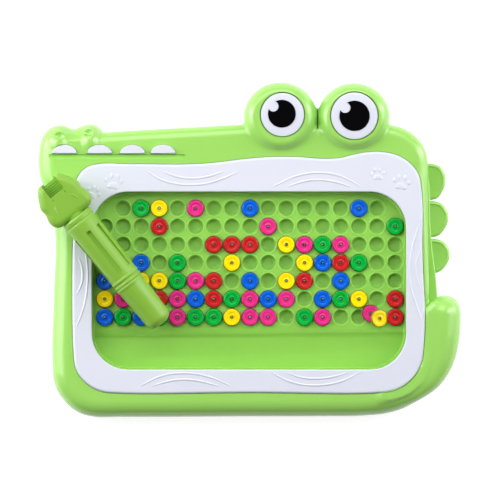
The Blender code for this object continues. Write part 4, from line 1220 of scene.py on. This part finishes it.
class DRAWINGBOARD_OT_tray(bpy.types.Operator):
    """Moulds the bead tray with its dimples and its trough"""

    bl_idname = "drawing_board.tray"
    bl_label = "Bead tray"

    def execute(self, context):
        settings = context.scene.drawing_board_tray
        # Polypropylene in a deeper green, moulded smooth: a soft sheen that shows the dimples' walls
        green = moulded_plastic(
            "smooth_moulded_polypropylene", settings.green, roughness=0.38, ior=1.49, grain=ABS_GRAIN,
            relief=ABS_RELIEF,
        )
        tray = straight_slab("tray", view_outline(WALL), TRAY_FOOT, FLANGE_BOTTOM + GAP)
        add(tray, straight_slab("flange", view_outline(SEAT), FLANGE_BOTTOM, FLANGE_TOP))
        cut(tray, self.chamber(-settings.draft))
        add(tray, self.collars(settings))
        cut(tray, self.trough(-settings.draft), self.dimples(settings))
        # Painted shade in the dimples' walls and floors and, lighter, on the field and trough; the collars
        # keep the full green as a painted highlight
        paint_shade(green, DIMPLE_SHADE_TONE)
        mark_painted_shade(tray, self.painted_shade_at)
        finish_piece(tray, "moulded_bead_tray", green, "board", "tray_green", ["bead_tray"], even=True)
        return {"FINISHED"}

    def chamber(self, margin):
        """The cutter for the room over the field, its walls leaning in to a margin at the floor."""
        obj = straight_slab("chamber", view_outline(0), TRAY_TOP, FLANGE_TOP + OVERRUN)
        middle = (VIEW_LOW + VIEW_HIGH) / 2
        half = (VIEW_HIGH - VIEW_LOW) / 2
        pick(obj, "FACE", lambda face, corners: face.normal.z < -0.9)
        bpy.ops.transform.resize(
            value=(1 + margin / half.x, 1 + margin / half.y, 1), center_override=(*middle.xy, TRAY_TOP),
        )
        leave()
        return round_rim(obj, TRAY_TOP, CHAMBER_ROUND, 4)

    def painted_shade_at(self, point):
        """How much painted shade darkens the green: most in a dimple, none on its collar, which reads as a
        painted highlight.
        """
        rise = point.z - TRAY_TOP
        if rise < -GAP and point.y > TROUGH_TO:
            return 1.0
        return 0.0 if COLLAR_RISE / 2 < rise < COLLAR_RISE + GAP else FIELD_SHADE_SHARE

    def trough(self, margin):
        """The cutter for the trough, with a slope up to the field of dimples."""
        obj = straight_slab("trough", view_outline(margin), TROUGH_FLOOR, TRAY_TOP + GAP)
        foot = VIEW_LOW.y - OVERRUN
        under = TROUGH_FLOOR - OVERRUN
        over = TRAY_TOP + OVERRUN
        section = (
            (foot, under), (TROUGH_FROM, under), (TROUGH_FROM, TROUGH_FLOOR), (TROUGH_TO, TRAY_TOP),
            (TROUGH_TO, over), (foot, over),
        )
        bar = bar_along_x("bar", section, VIEW_LOW.x - OVERRUN, VIEW_HIGH.x + OVERRUN)
        return combined(obj, bar, "INTERSECT")

    def dimples(self, settings):
        """One round cutter with a soft floor and a flared lip, copied to every dimple."""
        mouth = settings.dimple_radius
        lip = settings.lip
        depth = -settings.dimple_depth
        floor_round = settings.dimple_depth / 2
        foot = mouth - DIMPLE_TAPER
        profile = [
            (0, depth), *arc((foot - floor_round, depth + floor_round), floor_round, -90, 0, 4),
            *[(2 * mouth + 2 * lip - x, y) for x, y in arc((mouth + lip, -lip), lip, 0, 90, 4)],
            (mouth + lip, OVERRUN), (0, OVERRUN),
        ]
        return self.spread(turned("dimple", profile, DIMPLE_SIDES), TRAY_TOP + COLLAR_RISE)

    def collars(self, settings):
        """A low raised collar round every dimple, which catches the light as a pale ring."""
        crest = settings.dimple_radius + settings.lip + COLLAR_FLAT
        foot = crest + COLLAR_WIDTH
        profile = [
            (0, COLLAR_RISE), (crest, COLLAR_RISE),
            (crest + COLLAR_WIDTH / 2, COLLAR_RISE * COLLAR_SHOULDER_SHARE), (foot, -GAP), (0, -GAP),
        ]
        return self.spread(turned("collar", profile, DIMPLE_SIDES), TRAY_TOP)

    def spread(self, pattern, height):
        """Copies one cutter or collar to every dimple. The two upper corners of the field have none."""
        corners = ((0, 0), (0, DIMPLE_COLUMNS - 1))
        cells = [(row, column) for row in range(DIMPLE_ROWS) for column in range(DIMPLE_COLUMNS)]
        name = pattern.name
        made = [
            copied(pattern, name, (*dimple_place(*cell), height)) for cell in cells if cell not in corners
        ]
        bpy.data.objects.remove(pattern)
        return joined(name + "s", made)


class DRAWINGBOARD_OT_teeth(bpy.types.Operator):
    """Moulds the four crowned teeth on their strip"""

    bl_idname = "drawing_board.teeth"
    bl_label = "Teeth"

    def execute(self, context):
        settings = context.scene.drawing_board_face
        # The same white ABS, moulded glossy: clear highlights on the teeth and the eyes
        white = moulded_plastic(
            "glossy_moulded_white_abs", context.scene.drawing_board_bezel.white, roughness=0.26, ior=1.54,
            grain=GLOSS_GRAIN, relief=GLOSS_RELIEF, drift=0.01,
        )
        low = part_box("tooth_strip")[0].z
        row = strip_block("tooth_row", STRIP_MARGIN, low, low + STRIP_THICKNESS)
        for number, share in enumerate(TOOTH_X_SHARES, 1):
            top = BODY_TOP + settings.tooth_proud
            one = tooth(f"tooth_{number}", share, low + GAP, top, 0)
            round_rim(one, top, TOOTH_ROUND, 4)
            add(row, one)
        finish_piece(row, "moulded_teeth", white, "board", "bezel_white", ["tooth_strip"], even=True)
        return {"FINISHED"}


class DRAWINGBOARD_OT_eyes(bpy.types.Operator):
    """Turns the crowned eye whites and the black pupils with their glints"""

    bl_idname = "drawing_board.eyes"
    bl_label = "Eyes"

    def execute(self, context):
        settings = context.scene.drawing_board_face
        white = bpy.data.materials["glossy_moulded_white_abs"]
        # Black ABS, polished: deep black with one clear reflection
        black = moulded_plastic(
            "polished_black_abs", settings.black, roughness=0.16, ior=1.54, grain=GLOSS_GRAIN,
            relief=GLOSS_RELIEF, drift=0.0,
        )
        for side in DOME_SHARES:
            self.eye(side, settings, white, black)
        return {"FINISHED"}

    def eye(self, side, settings, white, black):
        low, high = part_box("pupil_" + side)
        middle = (low + high) / 2
        pupil_radius = (high.y - low.y) / 2
        at = eye_middle(side)
        radius = eye_radius(side)
        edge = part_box("eye_white_" + side)[1].z - settings.crown
        slope = arc((0, edge - GAP), radius - GAP, 90, 0, 12, settings.crown + GAP)
        profile = [*slope[:-1], (radius, edge - GAP), (radius, EYE_FOOT), (0, EYE_FOOT)]
        disc = turned("eye_white", profile, EYE_SIDES)
        disc.data.transform(Matrix.Translation((*at.xy, 0)))
        off_x, off_y = GLINT_OFF_SHARES
        glint = (middle.x + off_x * pupil_radius, middle.y + off_y * pupil_radius)
        room = posts(
            "pupil_room", [middle.xy], pupil_radius + GAP / 3, PUPIL_FOOT - GAP, PUPIL_TOP + OVERRUN,
            EYE_SIDES,
        )
        cut(room, posts("island", [glint], GLINT_RADIUS - GAP / 3, 0, PUPIL_TOP + 2 * OVERRUN, EYE_SIDES))
        cut(disc, room)
        pupil = posts("pupil", [middle.xy], pupil_radius, PUPIL_FOOT, high.z, EYE_SIDES)
        cut(pupil, posts("bite", [glint], GLINT_RADIUS, 0, PUPIL_TOP + OVERRUN, EYE_SIDES))
        round_rim(pupil, high.z, PUPIL_ROUND, 3)
        for obj, name, material, slot, node in (
            (disc, "eye_disc_", white, "bezel_white", "eye_white_"),
            (pupil, "pupil_disc_", black, "pupil_black", "pupil_"),
        ):
            finish_piece(obj, name + side, material, "board", slot, [node + side], even=True)


def bead_shape(settings):
    """A bead: a disc rolled over at its rim, a raised ring, a shallow inner step and a hole for its core."""
    edge = settings.edge
    ring = BEAD_RADIUS - edge - settings.ring_width
    step = BEAD_TOP - settings.recess
    well = BEAD_TOP - HOLE_DEPTH
    hole = settings.core_radius + HOLE_GAP
    hub = hole + HUB_WIDTH
    profile = [
        (0, well), (hole, well), (hole, step), (hole + HUB_BEVEL, step + HUB_BEVEL), (hub, step + HUB_BEVEL),
        (hub + HUB_SLOPE, step), (ring - RING_SLOPE, step), (ring - RING_BEVEL, step + RING_BEVEL),
        (ring + RING_BEVEL, BEAD_TOP - RING_BEVEL), (ring + RING_SLOPE, BEAD_TOP),
        *arc((BEAD_RADIUS - edge, BEAD_TOP - BEAD_ROLL), edge, 90, 0, 6, BEAD_ROLL),
        (BEAD_RADIUS, BEAD_BASE), (BEAD_RADIUS - BEAD_CHAMFER, 0), (BEAD_RADIUS - BEAD_FOOT_INSET, BEAD_FOOT),
        (0, BEAD_FOOT),
    ]
    obj = turned("bead_pattern", profile, BEAD_SIDES)

    # Painted shade on the rim beyond the face and in the hole under the inner step
    def bead_painted_shade(point):
        off = point.xy.length
        return 1.0 if off > BEAD_FACE_RADIUS or (off < hub and point.z < step) else 0.0

    return mark_painted_shade(obj, bead_painted_shade)


def core_shape(settings):
    """The steel core: a pin with a rounded end, a little below the bead's face."""
    radius = settings.core_radius
    top = BEAD_TOP - settings.recess - CORE_SINK
    foot = BEAD_TOP - HOLE_DEPTH
    profile = [*arc((0, top - CORE_ROUND), radius, 90, 0, 5, CORE_ROUND), (radius, foot), (0, foot)]
    return turned("core_pattern", profile, CORE_SIDES)


def leaning(at, tilt, heading):
    """The place of a bead that leans by a tilt towards a heading."""
    turn = Matrix.Rotation(math.radians(heading), 4, "Z")
    return Matrix.Translation(at) @ (turn @ Matrix.Rotation(math.radians(tilt), 4, "Y") @ turn.inverted())


def bead_spots():
    """Every bead's name, colour, place, and the CAD node that it stands for, if it has one."""
    for node in sorted(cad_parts):
        if node.startswith("bead_") and node != "bead_tray":
            at = Matrix.Translation((*middle_of(node).xy, TRAY_TOP))
            yield node.removeprefix("bead_"), node.split("_")[1], at, node
    for colour, cells in STILL_BEADS.items():
        for row, column in cells:
            at = Matrix.Translation((*dimple_place(row, column), TRAY_TOP))
            yield f"{colour}_{row}_{column}", colour, at, None
    for colour, at, tilt, heading in LOOSE_BEADS:
        yield colour + "_loose", colour, leaning(at, tilt, heading), None


class DRAWINGBOARD_OT_beads(bpy.types.Operator):
    """Turns one bead with its steel core and lays a copy in each place"""

    bl_idname = "drawing_board.beads"
    bl_label = "Beads"

    def execute(self, context):
        settings = context.scene.drawing_board_beads
        # Polystyrene beads, moulded glossy and dyed through: a clear highlight on the rim and the inner step
        plastics = {
            colour: moulded_plastic(
                f"glossy_moulded_{colour}_polystyrene", getattr(settings, colour), roughness=0.13, ior=1.59,
                grain=GLOSS_GRAIN, relief=GLOSS_RELIEF, drift=0.03,
            )
            for colour in STILL_BEADS
        }
        # Painted shade: a bead's colour is darkened at its rim and in its hole, where shade falls between
        # bead and dimple and down the hole
        for plastic in plastics.values():
            paint_shade(plastic, BEAD_SHADE_TONE)
        # Cut steel pin: a small grey face that catches one bright speck
        steel = turned_steel("cut_steel_pin", linear("#B9B8B6"), 0.32)
        bead = bead_shape(settings)
        core = core_shape(settings)
        for name, colour, at, node in bead_spots():
            body = node or "board"
            disc = copied(bead, "disc")
            disc.data.transform(at)
            pin = copied(core, "pin")
            pin.data.transform(at)
            nodes = [node] if node else ()
            finish_piece(disc, "disc_" + name, plastics[colour], body, "bead_" + colour, nodes)
            finish_piece(pin, "pin_" + name, steel, body, "steel")
        bpy.data.objects.remove(bead)
        bpy.data.objects.remove(core)
        return {"FINISHED"}


def pen_place():
    """The pen's axis as it lies: its tip cap on the window and its barrel on the bezel's inner edge."""
    head = Vector((*place(PEN_HEAD_SHARES), 0))
    tip = Vector((*place(PEN_TIP_SHARES), 0))
    course = (tip - head).normalized()
    edge_along = (VIEW_LOW.x - head.x) / course.x
    cap_along = PEN_LENGTH - CAP_END_ROUND
    edge_height = BEZEL_TOP + PEN_COLLAR_RADIUS + PEN_CLEARANCE
    cap_height = WINDOW_TOP + CAP_NOSE_RADIUS + PEN_CLEARANCE
    fall = math.atan2(edge_height - cap_height, cap_along - edge_along)
    along = Vector((course.x * math.cos(fall), course.y * math.cos(fall), -math.sin(fall)))
    head.z = edge_height + edge_along * math.sin(fall)
    across = Vector((0, 0, 1)).cross(along).normalized()
    turn = Matrix((across, along.cross(across), along)).transposed().to_4x4()
    return Matrix.Translation(head) @ turn


class DRAWINGBOARD_OT_pen(bpy.types.Operator):
    """Moulds the magnetic pen's head, fluted barrel and tip cap"""

    bl_idname = "drawing_board.pen"
    bl_label = "Pen"

    def execute(self, context):
        settings = context.scene.drawing_board_pen
        # Polyethylene, blow-moulded: waxy, with wide soft highlights
        green = moulded_plastic(
            "waxy_moulded_polyethylene", settings.green, roughness=0.40, ior=1.52, grain=ABS_GRAIN,
            relief=ABS_RELIEF,
        )
        at = pen_place()
        made = {"pen_head": self.head(settings), "pen_barrel": self.barrel(), "pen_tip_cap": self.cap()}
        for node, obj in made.items():
            obj.data.transform(at)
            even = node != "pen_tip_cap"
            finish_piece(obj, "moulded_" + node, green, "pen", "pen_green", [node], even=even)
        return {"FINISHED"}

    def head(self, settings):
        """A soft block with a ribbed notch in its end, two brow lines and two small pits."""
        left = [(-x, y) for x, y in reversed(HEAD_SIDE)]
        thick = HEAD_THICKNESS / 2
        last = len(HEAD_SIDE) - 1
        head = slab("head", [*HEAD_SIDE, *left], -thick, thick, corners=(0, last, last + 1, 2 * last + 1))
        for height in (thick, -thick):
            round_rim(head, height, settings.head_round, 5)
        modified(head, "REMESH", mode="VOXEL", voxel_size=settings.head_grid, use_smooth_shade=True)
        modified(head, "SMOOTH", factor=0.5, iterations=HEAD_SOFTENING)
        wide = NOTCH_WIDTH / 2
        cut(head, block("notch", (-wide, -OVERRUN, NOTCH_FLOOR), (wide, NOTCH_LENGTH, thick + OVERRUN)))
        wide, deep = END_GAP
        cut(head, block("end_gap", (-wide, -OVERRUN, -thick - OVERRUN), (wide, deep, thick + OVERRUN)))
        for number in range(RIB_COUNT):
            y = NOTCH_LENGTH * (number + RIB_START_SHARE) / RIB_COUNT
            wide = NOTCH_WIDTH / 2 + RIB_RADIUS
            add(head, rod("rib", [(-wide, y, NOTCH_FLOOR), (wide, y, NOTCH_FLOOR)], [RIB_RADIUS] * 2, 1, 4))
        for side in (-1, 1):
            points = [(side * x, y, thick - BROW_RADIUS / 2) for x, y in BROW_LINE]
            add(head, rod("brow", points, [BROW_RADIUS * share for share in BROW_RADIUS_SHARES], facets=4))
            x, y = PIT_PLACE
            cut(head, ball("pit", (side * x, y, thick), [PIT_RADIUS] * 3, 16))
        head.data.transform(Matrix.Rotation(math.radians(90), 4, "X"))
        head.data.transform(Matrix.Rotation(math.radians(180), 4, "Z"))
        return add(head, posts(
            "plug", [(0, 0)], PEN_BORE - GAP, NECK_AT - OVERRUN, NECK_AT + PEN_PLUG_LENGTH, PEN_SIDES,
        ))

    def barrel(self):
        """A tapering tube with a soft ring at its neck and another before the cap, and fluted grips."""
        start = NECK_AT + GAP / 2
        end = CAP_AT - GAP / 2
        barrel = turned("barrel", [
            (PEN_BORE, end), *stepped(CAP_RING_RADIUS, end, BARREL_END_STEPS),
            *stepped(BARREL_RADIUS, PEN_COLLAR_AT, BARREL_COLLAR_STEPS),
            (NECK_RADIUS, PEN_COLLAR_AT - NECK_SHOULDER), (NECK_RADIUS - NECK_BEVEL, start + NECK_BEVEL),
            (NECK_RADIUS - NECK_INSET, start), (PEN_BORE, start), (PEN_BORE, end),
        ], PEN_SIDES)
        low = BARREL_RADIUS - FLUTE_DEPTH - FLUTE_SINK
        wide = FLUTE_WIDTH / 2
        grooves = []
        for turn in FLUTE_TURNS:
            groove = block("flute", (-wide, low, FLUTE_START), (wide, low + FLUTE_WIDTH, FLUTE_END))
            groove.data.transform(Matrix.Rotation(math.radians(turn), 4, "Z"))
            grooves.append(groove)
        return cut(barrel, joined("flutes", grooves))

    def cap(self):
        """A rounded nose with a ring at its start, a plug that goes into the barrel and a magnet's pocket."""
        pocket = MAGNET_RADIUS + GAP
        floor = PEN_LENGTH - CAP_END_WALL
        ring = CAP_AT + CAP_RING_WIDTH
        inner = CAP_NOSE_RADIUS - CAP_END_ROUND
        nose = arc((inner, PEN_LENGTH - CAP_END_ROUND), CAP_END_ROUND, 90, 0, 10)
        plug_radius = PEN_BORE - GAP
        start = CAP_AT - PEN_PLUG_LENGTH
        return turned("cap", [
            (0, PEN_LENGTH), *nose, *stepped(CAP_RADIUS, ring, CAP_SIDE_STEPS),
            *stepped(CAP_RING_RADIUS, ring, CAP_RING_TOP_STEPS),
            *stepped(CAP_RING_RADIUS, CAP_AT, CAP_RING_FOOT_STEPS),
            (plug_radius, CAP_AT), (plug_radius, start), (pocket, start), (pocket, floor), (0, floor),
        ], PEN_SIDES)


class DRAWINGBOARD_OT_hardware(bpy.types.Operator):
    """Gives the screws and the pen's magnet their metal and ceramic"""

    bl_idname = "drawing_board.hardware"
    bl_label = "Screws and magnet"

    def execute(self, context):
        # Zinc-plated screw steel: pale grey with a broken satin highlight
        zinc = turned_steel("zinc_plated_steel", linear("#C3C4C6"), 0.34)
        # Sintered ferrite: dark grey, dull and slightly gritty
        ferrite = moulded_plastic(
            "sintered_ferrite", linear("#4A4A4E"), roughness=0.55, ior=1.6, grain=FERRITE_GRAIN,
            relief=FERRITE_RELIEF,
        )
        for name in SCREW_NAMES:
            paint(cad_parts["screw_" + name], zinc)
        paint(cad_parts["pen_magnet"], ferrite)
        return {"FINISHED"}


def lamp(name, at, size, power):
    """A soft rectangular lamp that faces the middle of the board."""
    data = bpy.data.lights.new(name, "AREA")
    data.shape = "RECTANGLE"
    data.size, data.size_y = size
    data.energy = power
    obj = bpy.data.objects.new(name, data)
    bpy.context.scene.collection.objects.link(obj)
    obj.location = at
    obj.rotation_euler = (Vector() - obj.location).to_track_quat("-Z", "Y").to_euler()


class DRAWINGBOARD_OT_stage(bpy.types.Operator):
    """Sets up the floor, the soft lamps, the pale surround and the camera straight above"""

    bl_idname = "drawing_board.stage"
    bl_label = "Stage"

    def execute(self, context):
        settings = context.scene.drawing_board_stage
        self.floor(settings)
        self.surround(settings)
        for name, (at, size, power_name) in LAMPS.items():
            lamp(name, at, size, getattr(settings, power_name))
        camera = bpy.data.objects.new("camera", bpy.data.cameras.new("camera"))
        context.scene.collection.objects.link(camera)
        camera.location = (0, 0, BODY_TOP + settings.camera_height)
        camera.data.angle = 2 * math.atan(settings.frame_width / 2 / settings.camera_height)
        camera.data.clip_start = CLIP_START
        context.scene.camera = camera
        context.scene.view_settings.view_transform = "Standard"
        return {"FINISHED"}

    def floor(self, settings):
        """A wide sheet of paper, lifted to white for the camera and in reflections. It keeps the shadow."""
        floor = primitive("plane", "floor", size=FLOOR_SIZE, location=(0, 0, -GAP))
        material, tree, shader = plain_material("matt_paper")
        at = add_node(tree, "ShaderNodeTexCoord").outputs["Object"]
        fibre = add_node(
            tree, "ShaderNodeTexNoise", {"Scale": 1 / PAPER_FIBRE, "Detail": 3.0}, {"Vector": at},
        )
        bump = add_node(tree, "ShaderNodeBump", {"Distance": PAPER_RELIEF}, {"Height": fibre.outputs["Fac"]})
        tree.links.new(bump.outputs["Normal"], shader.inputs["Normal"])
        shader.inputs["Base Color"].default_value = settings.paper
        shader.inputs["Roughness"].default_value = 0.9
        path = add_node(tree, "ShaderNodeLightPath")
        seen = add_node(
            tree, "ShaderNodeMath", {"operation": "ADD"},
            {0: path.outputs["Is Camera Ray"], 1: path.outputs["Is Glossy Ray"]},
        )
        lift = add_node(
            tree, "ShaderNodeMath", {"operation": "MULTIPLY", 1: settings.paper_glow},
            {0: seen.outputs["Value"]},
        )
        glow = add_node(tree, "ShaderNodeEmission", None, {"Strength": lift.outputs["Value"]})
        both = add_node(
            tree, "ShaderNodeAddShader", None, {0: shader.outputs["BSDF"], 1: glow.outputs["Emission"]},
        )
        tree.links.new(both.outputs["Shader"], tree.nodes["Material Output"].inputs["Surface"])
        floor.data.materials.append(material)

    def surround(self, settings):
        """A pale room, dark straight overhead and beyond the foot, and plain white to the camera."""
        world = bpy.data.worlds.new("pale_room")
        bpy.context.scene.world = world
        world.use_nodes = True
        tree = world.node_tree
        sky = tree.nodes["Background"]
        sky.inputs["Strength"].default_value = settings.sky
        ray = add_node(tree, "ShaderNodeTexCoord").outputs["Generated"]
        parts = add_node(tree, "ShaderNodeSeparateXYZ", None, {"Vector": ray})
        overhead = add_node(tree, "ShaderNodeMapRange", OVERHEAD_RANGE, {"Value": parts.outputs["Z"]})
        beyond = add_node(tree, "ShaderNodeMapRange", FOOT_RANGE, {"Value": parts.outputs["Y"]})
        tone = add_node(
            tree, "ShaderNodeMath", {"operation": "MULTIPLY"},
            {0: overhead.outputs["Result"], 1: beyond.outputs["Result"]},
        )
        tree.links.new(tone.outputs["Value"], sky.inputs["Color"])
        plain = add_node(tree, "ShaderNodeBackground", {"Color": linear("#FFFFFF")})
        seen = add_node(tree, "ShaderNodeLightPath").outputs["Is Camera Ray"]
        mix = add_node(
            tree, "ShaderNodeMixShader", None,
            {"Fac": seen, 1: sky.outputs["Background"], 2: plain.outputs["Background"]},
        )
        tree.links.new(mix.outputs["Shader"], tree.nodes["World Output"].inputs["Surface"])


SETTINGS = {
    "drawing_board_body": BodySettings,
    "drawing_board_bezel": BezelSettings,
    "drawing_board_tray": TraySettings,
    "drawing_board_face": FaceSettings,
    "drawing_board_beads": BeadSettings,
    "drawing_board_pen": PenSettings,
    "drawing_board_stage": StageSettings,
}
OPERATORS = (
    DRAWINGBOARD_OT_body, DRAWINGBOARD_OT_bezel, DRAWINGBOARD_OT_window, DRAWINGBOARD_OT_tray,
    DRAWINGBOARD_OT_teeth, DRAWINGBOARD_OT_eyes, DRAWINGBOARD_OT_beads, DRAWINGBOARD_OT_pen,
    DRAWINGBOARD_OT_hardware, DRAWINGBOARD_OT_stage,
)


class DRAWINGBOARD_PT_panel(bpy.types.Panel):
    """Lists the board's settings and the operators that build its pieces"""

    bl_idname = "DRAWINGBOARD_PT_panel"
    bl_label = "Crocodile drawing board"
    bl_space_type = "VIEW_3D"
    bl_region_type = "UI"
    bl_category = "Drawing board"

    def draw(self, context):
        for name, group in SETTINGS.items():
            box = self.layout.box()
            for prop in group.__annotations__:
                box.prop(getattr(context.scene, name), prop)
        for operator in OPERATORS:
            self.layout.operator(operator.bl_idname)


def register():
    for cls in (*SETTINGS.values(), *OPERATORS, DRAWINGBOARD_PT_panel):
        bpy.utils.register_class(cls)
    for name, group in SETTINGS.items():
        setattr(bpy.types.Scene, name, bpy.props.PointerProperty(type=group))


def unregister():
    for name in SETTINGS:
        delattr(bpy.types.Scene, name)
    for cls in reversed((*SETTINGS.values(), *OPERATORS, DRAWINGBOARD_PT_panel)):
        bpy.utils.unregister_class(cls)


def main():
    register()
    for operator in OPERATORS:
        group, name = operator.bl_idname.split(".")
        getattr(getattr(bpy.ops, group), name)()


if __name__ == "__main__":
    main()
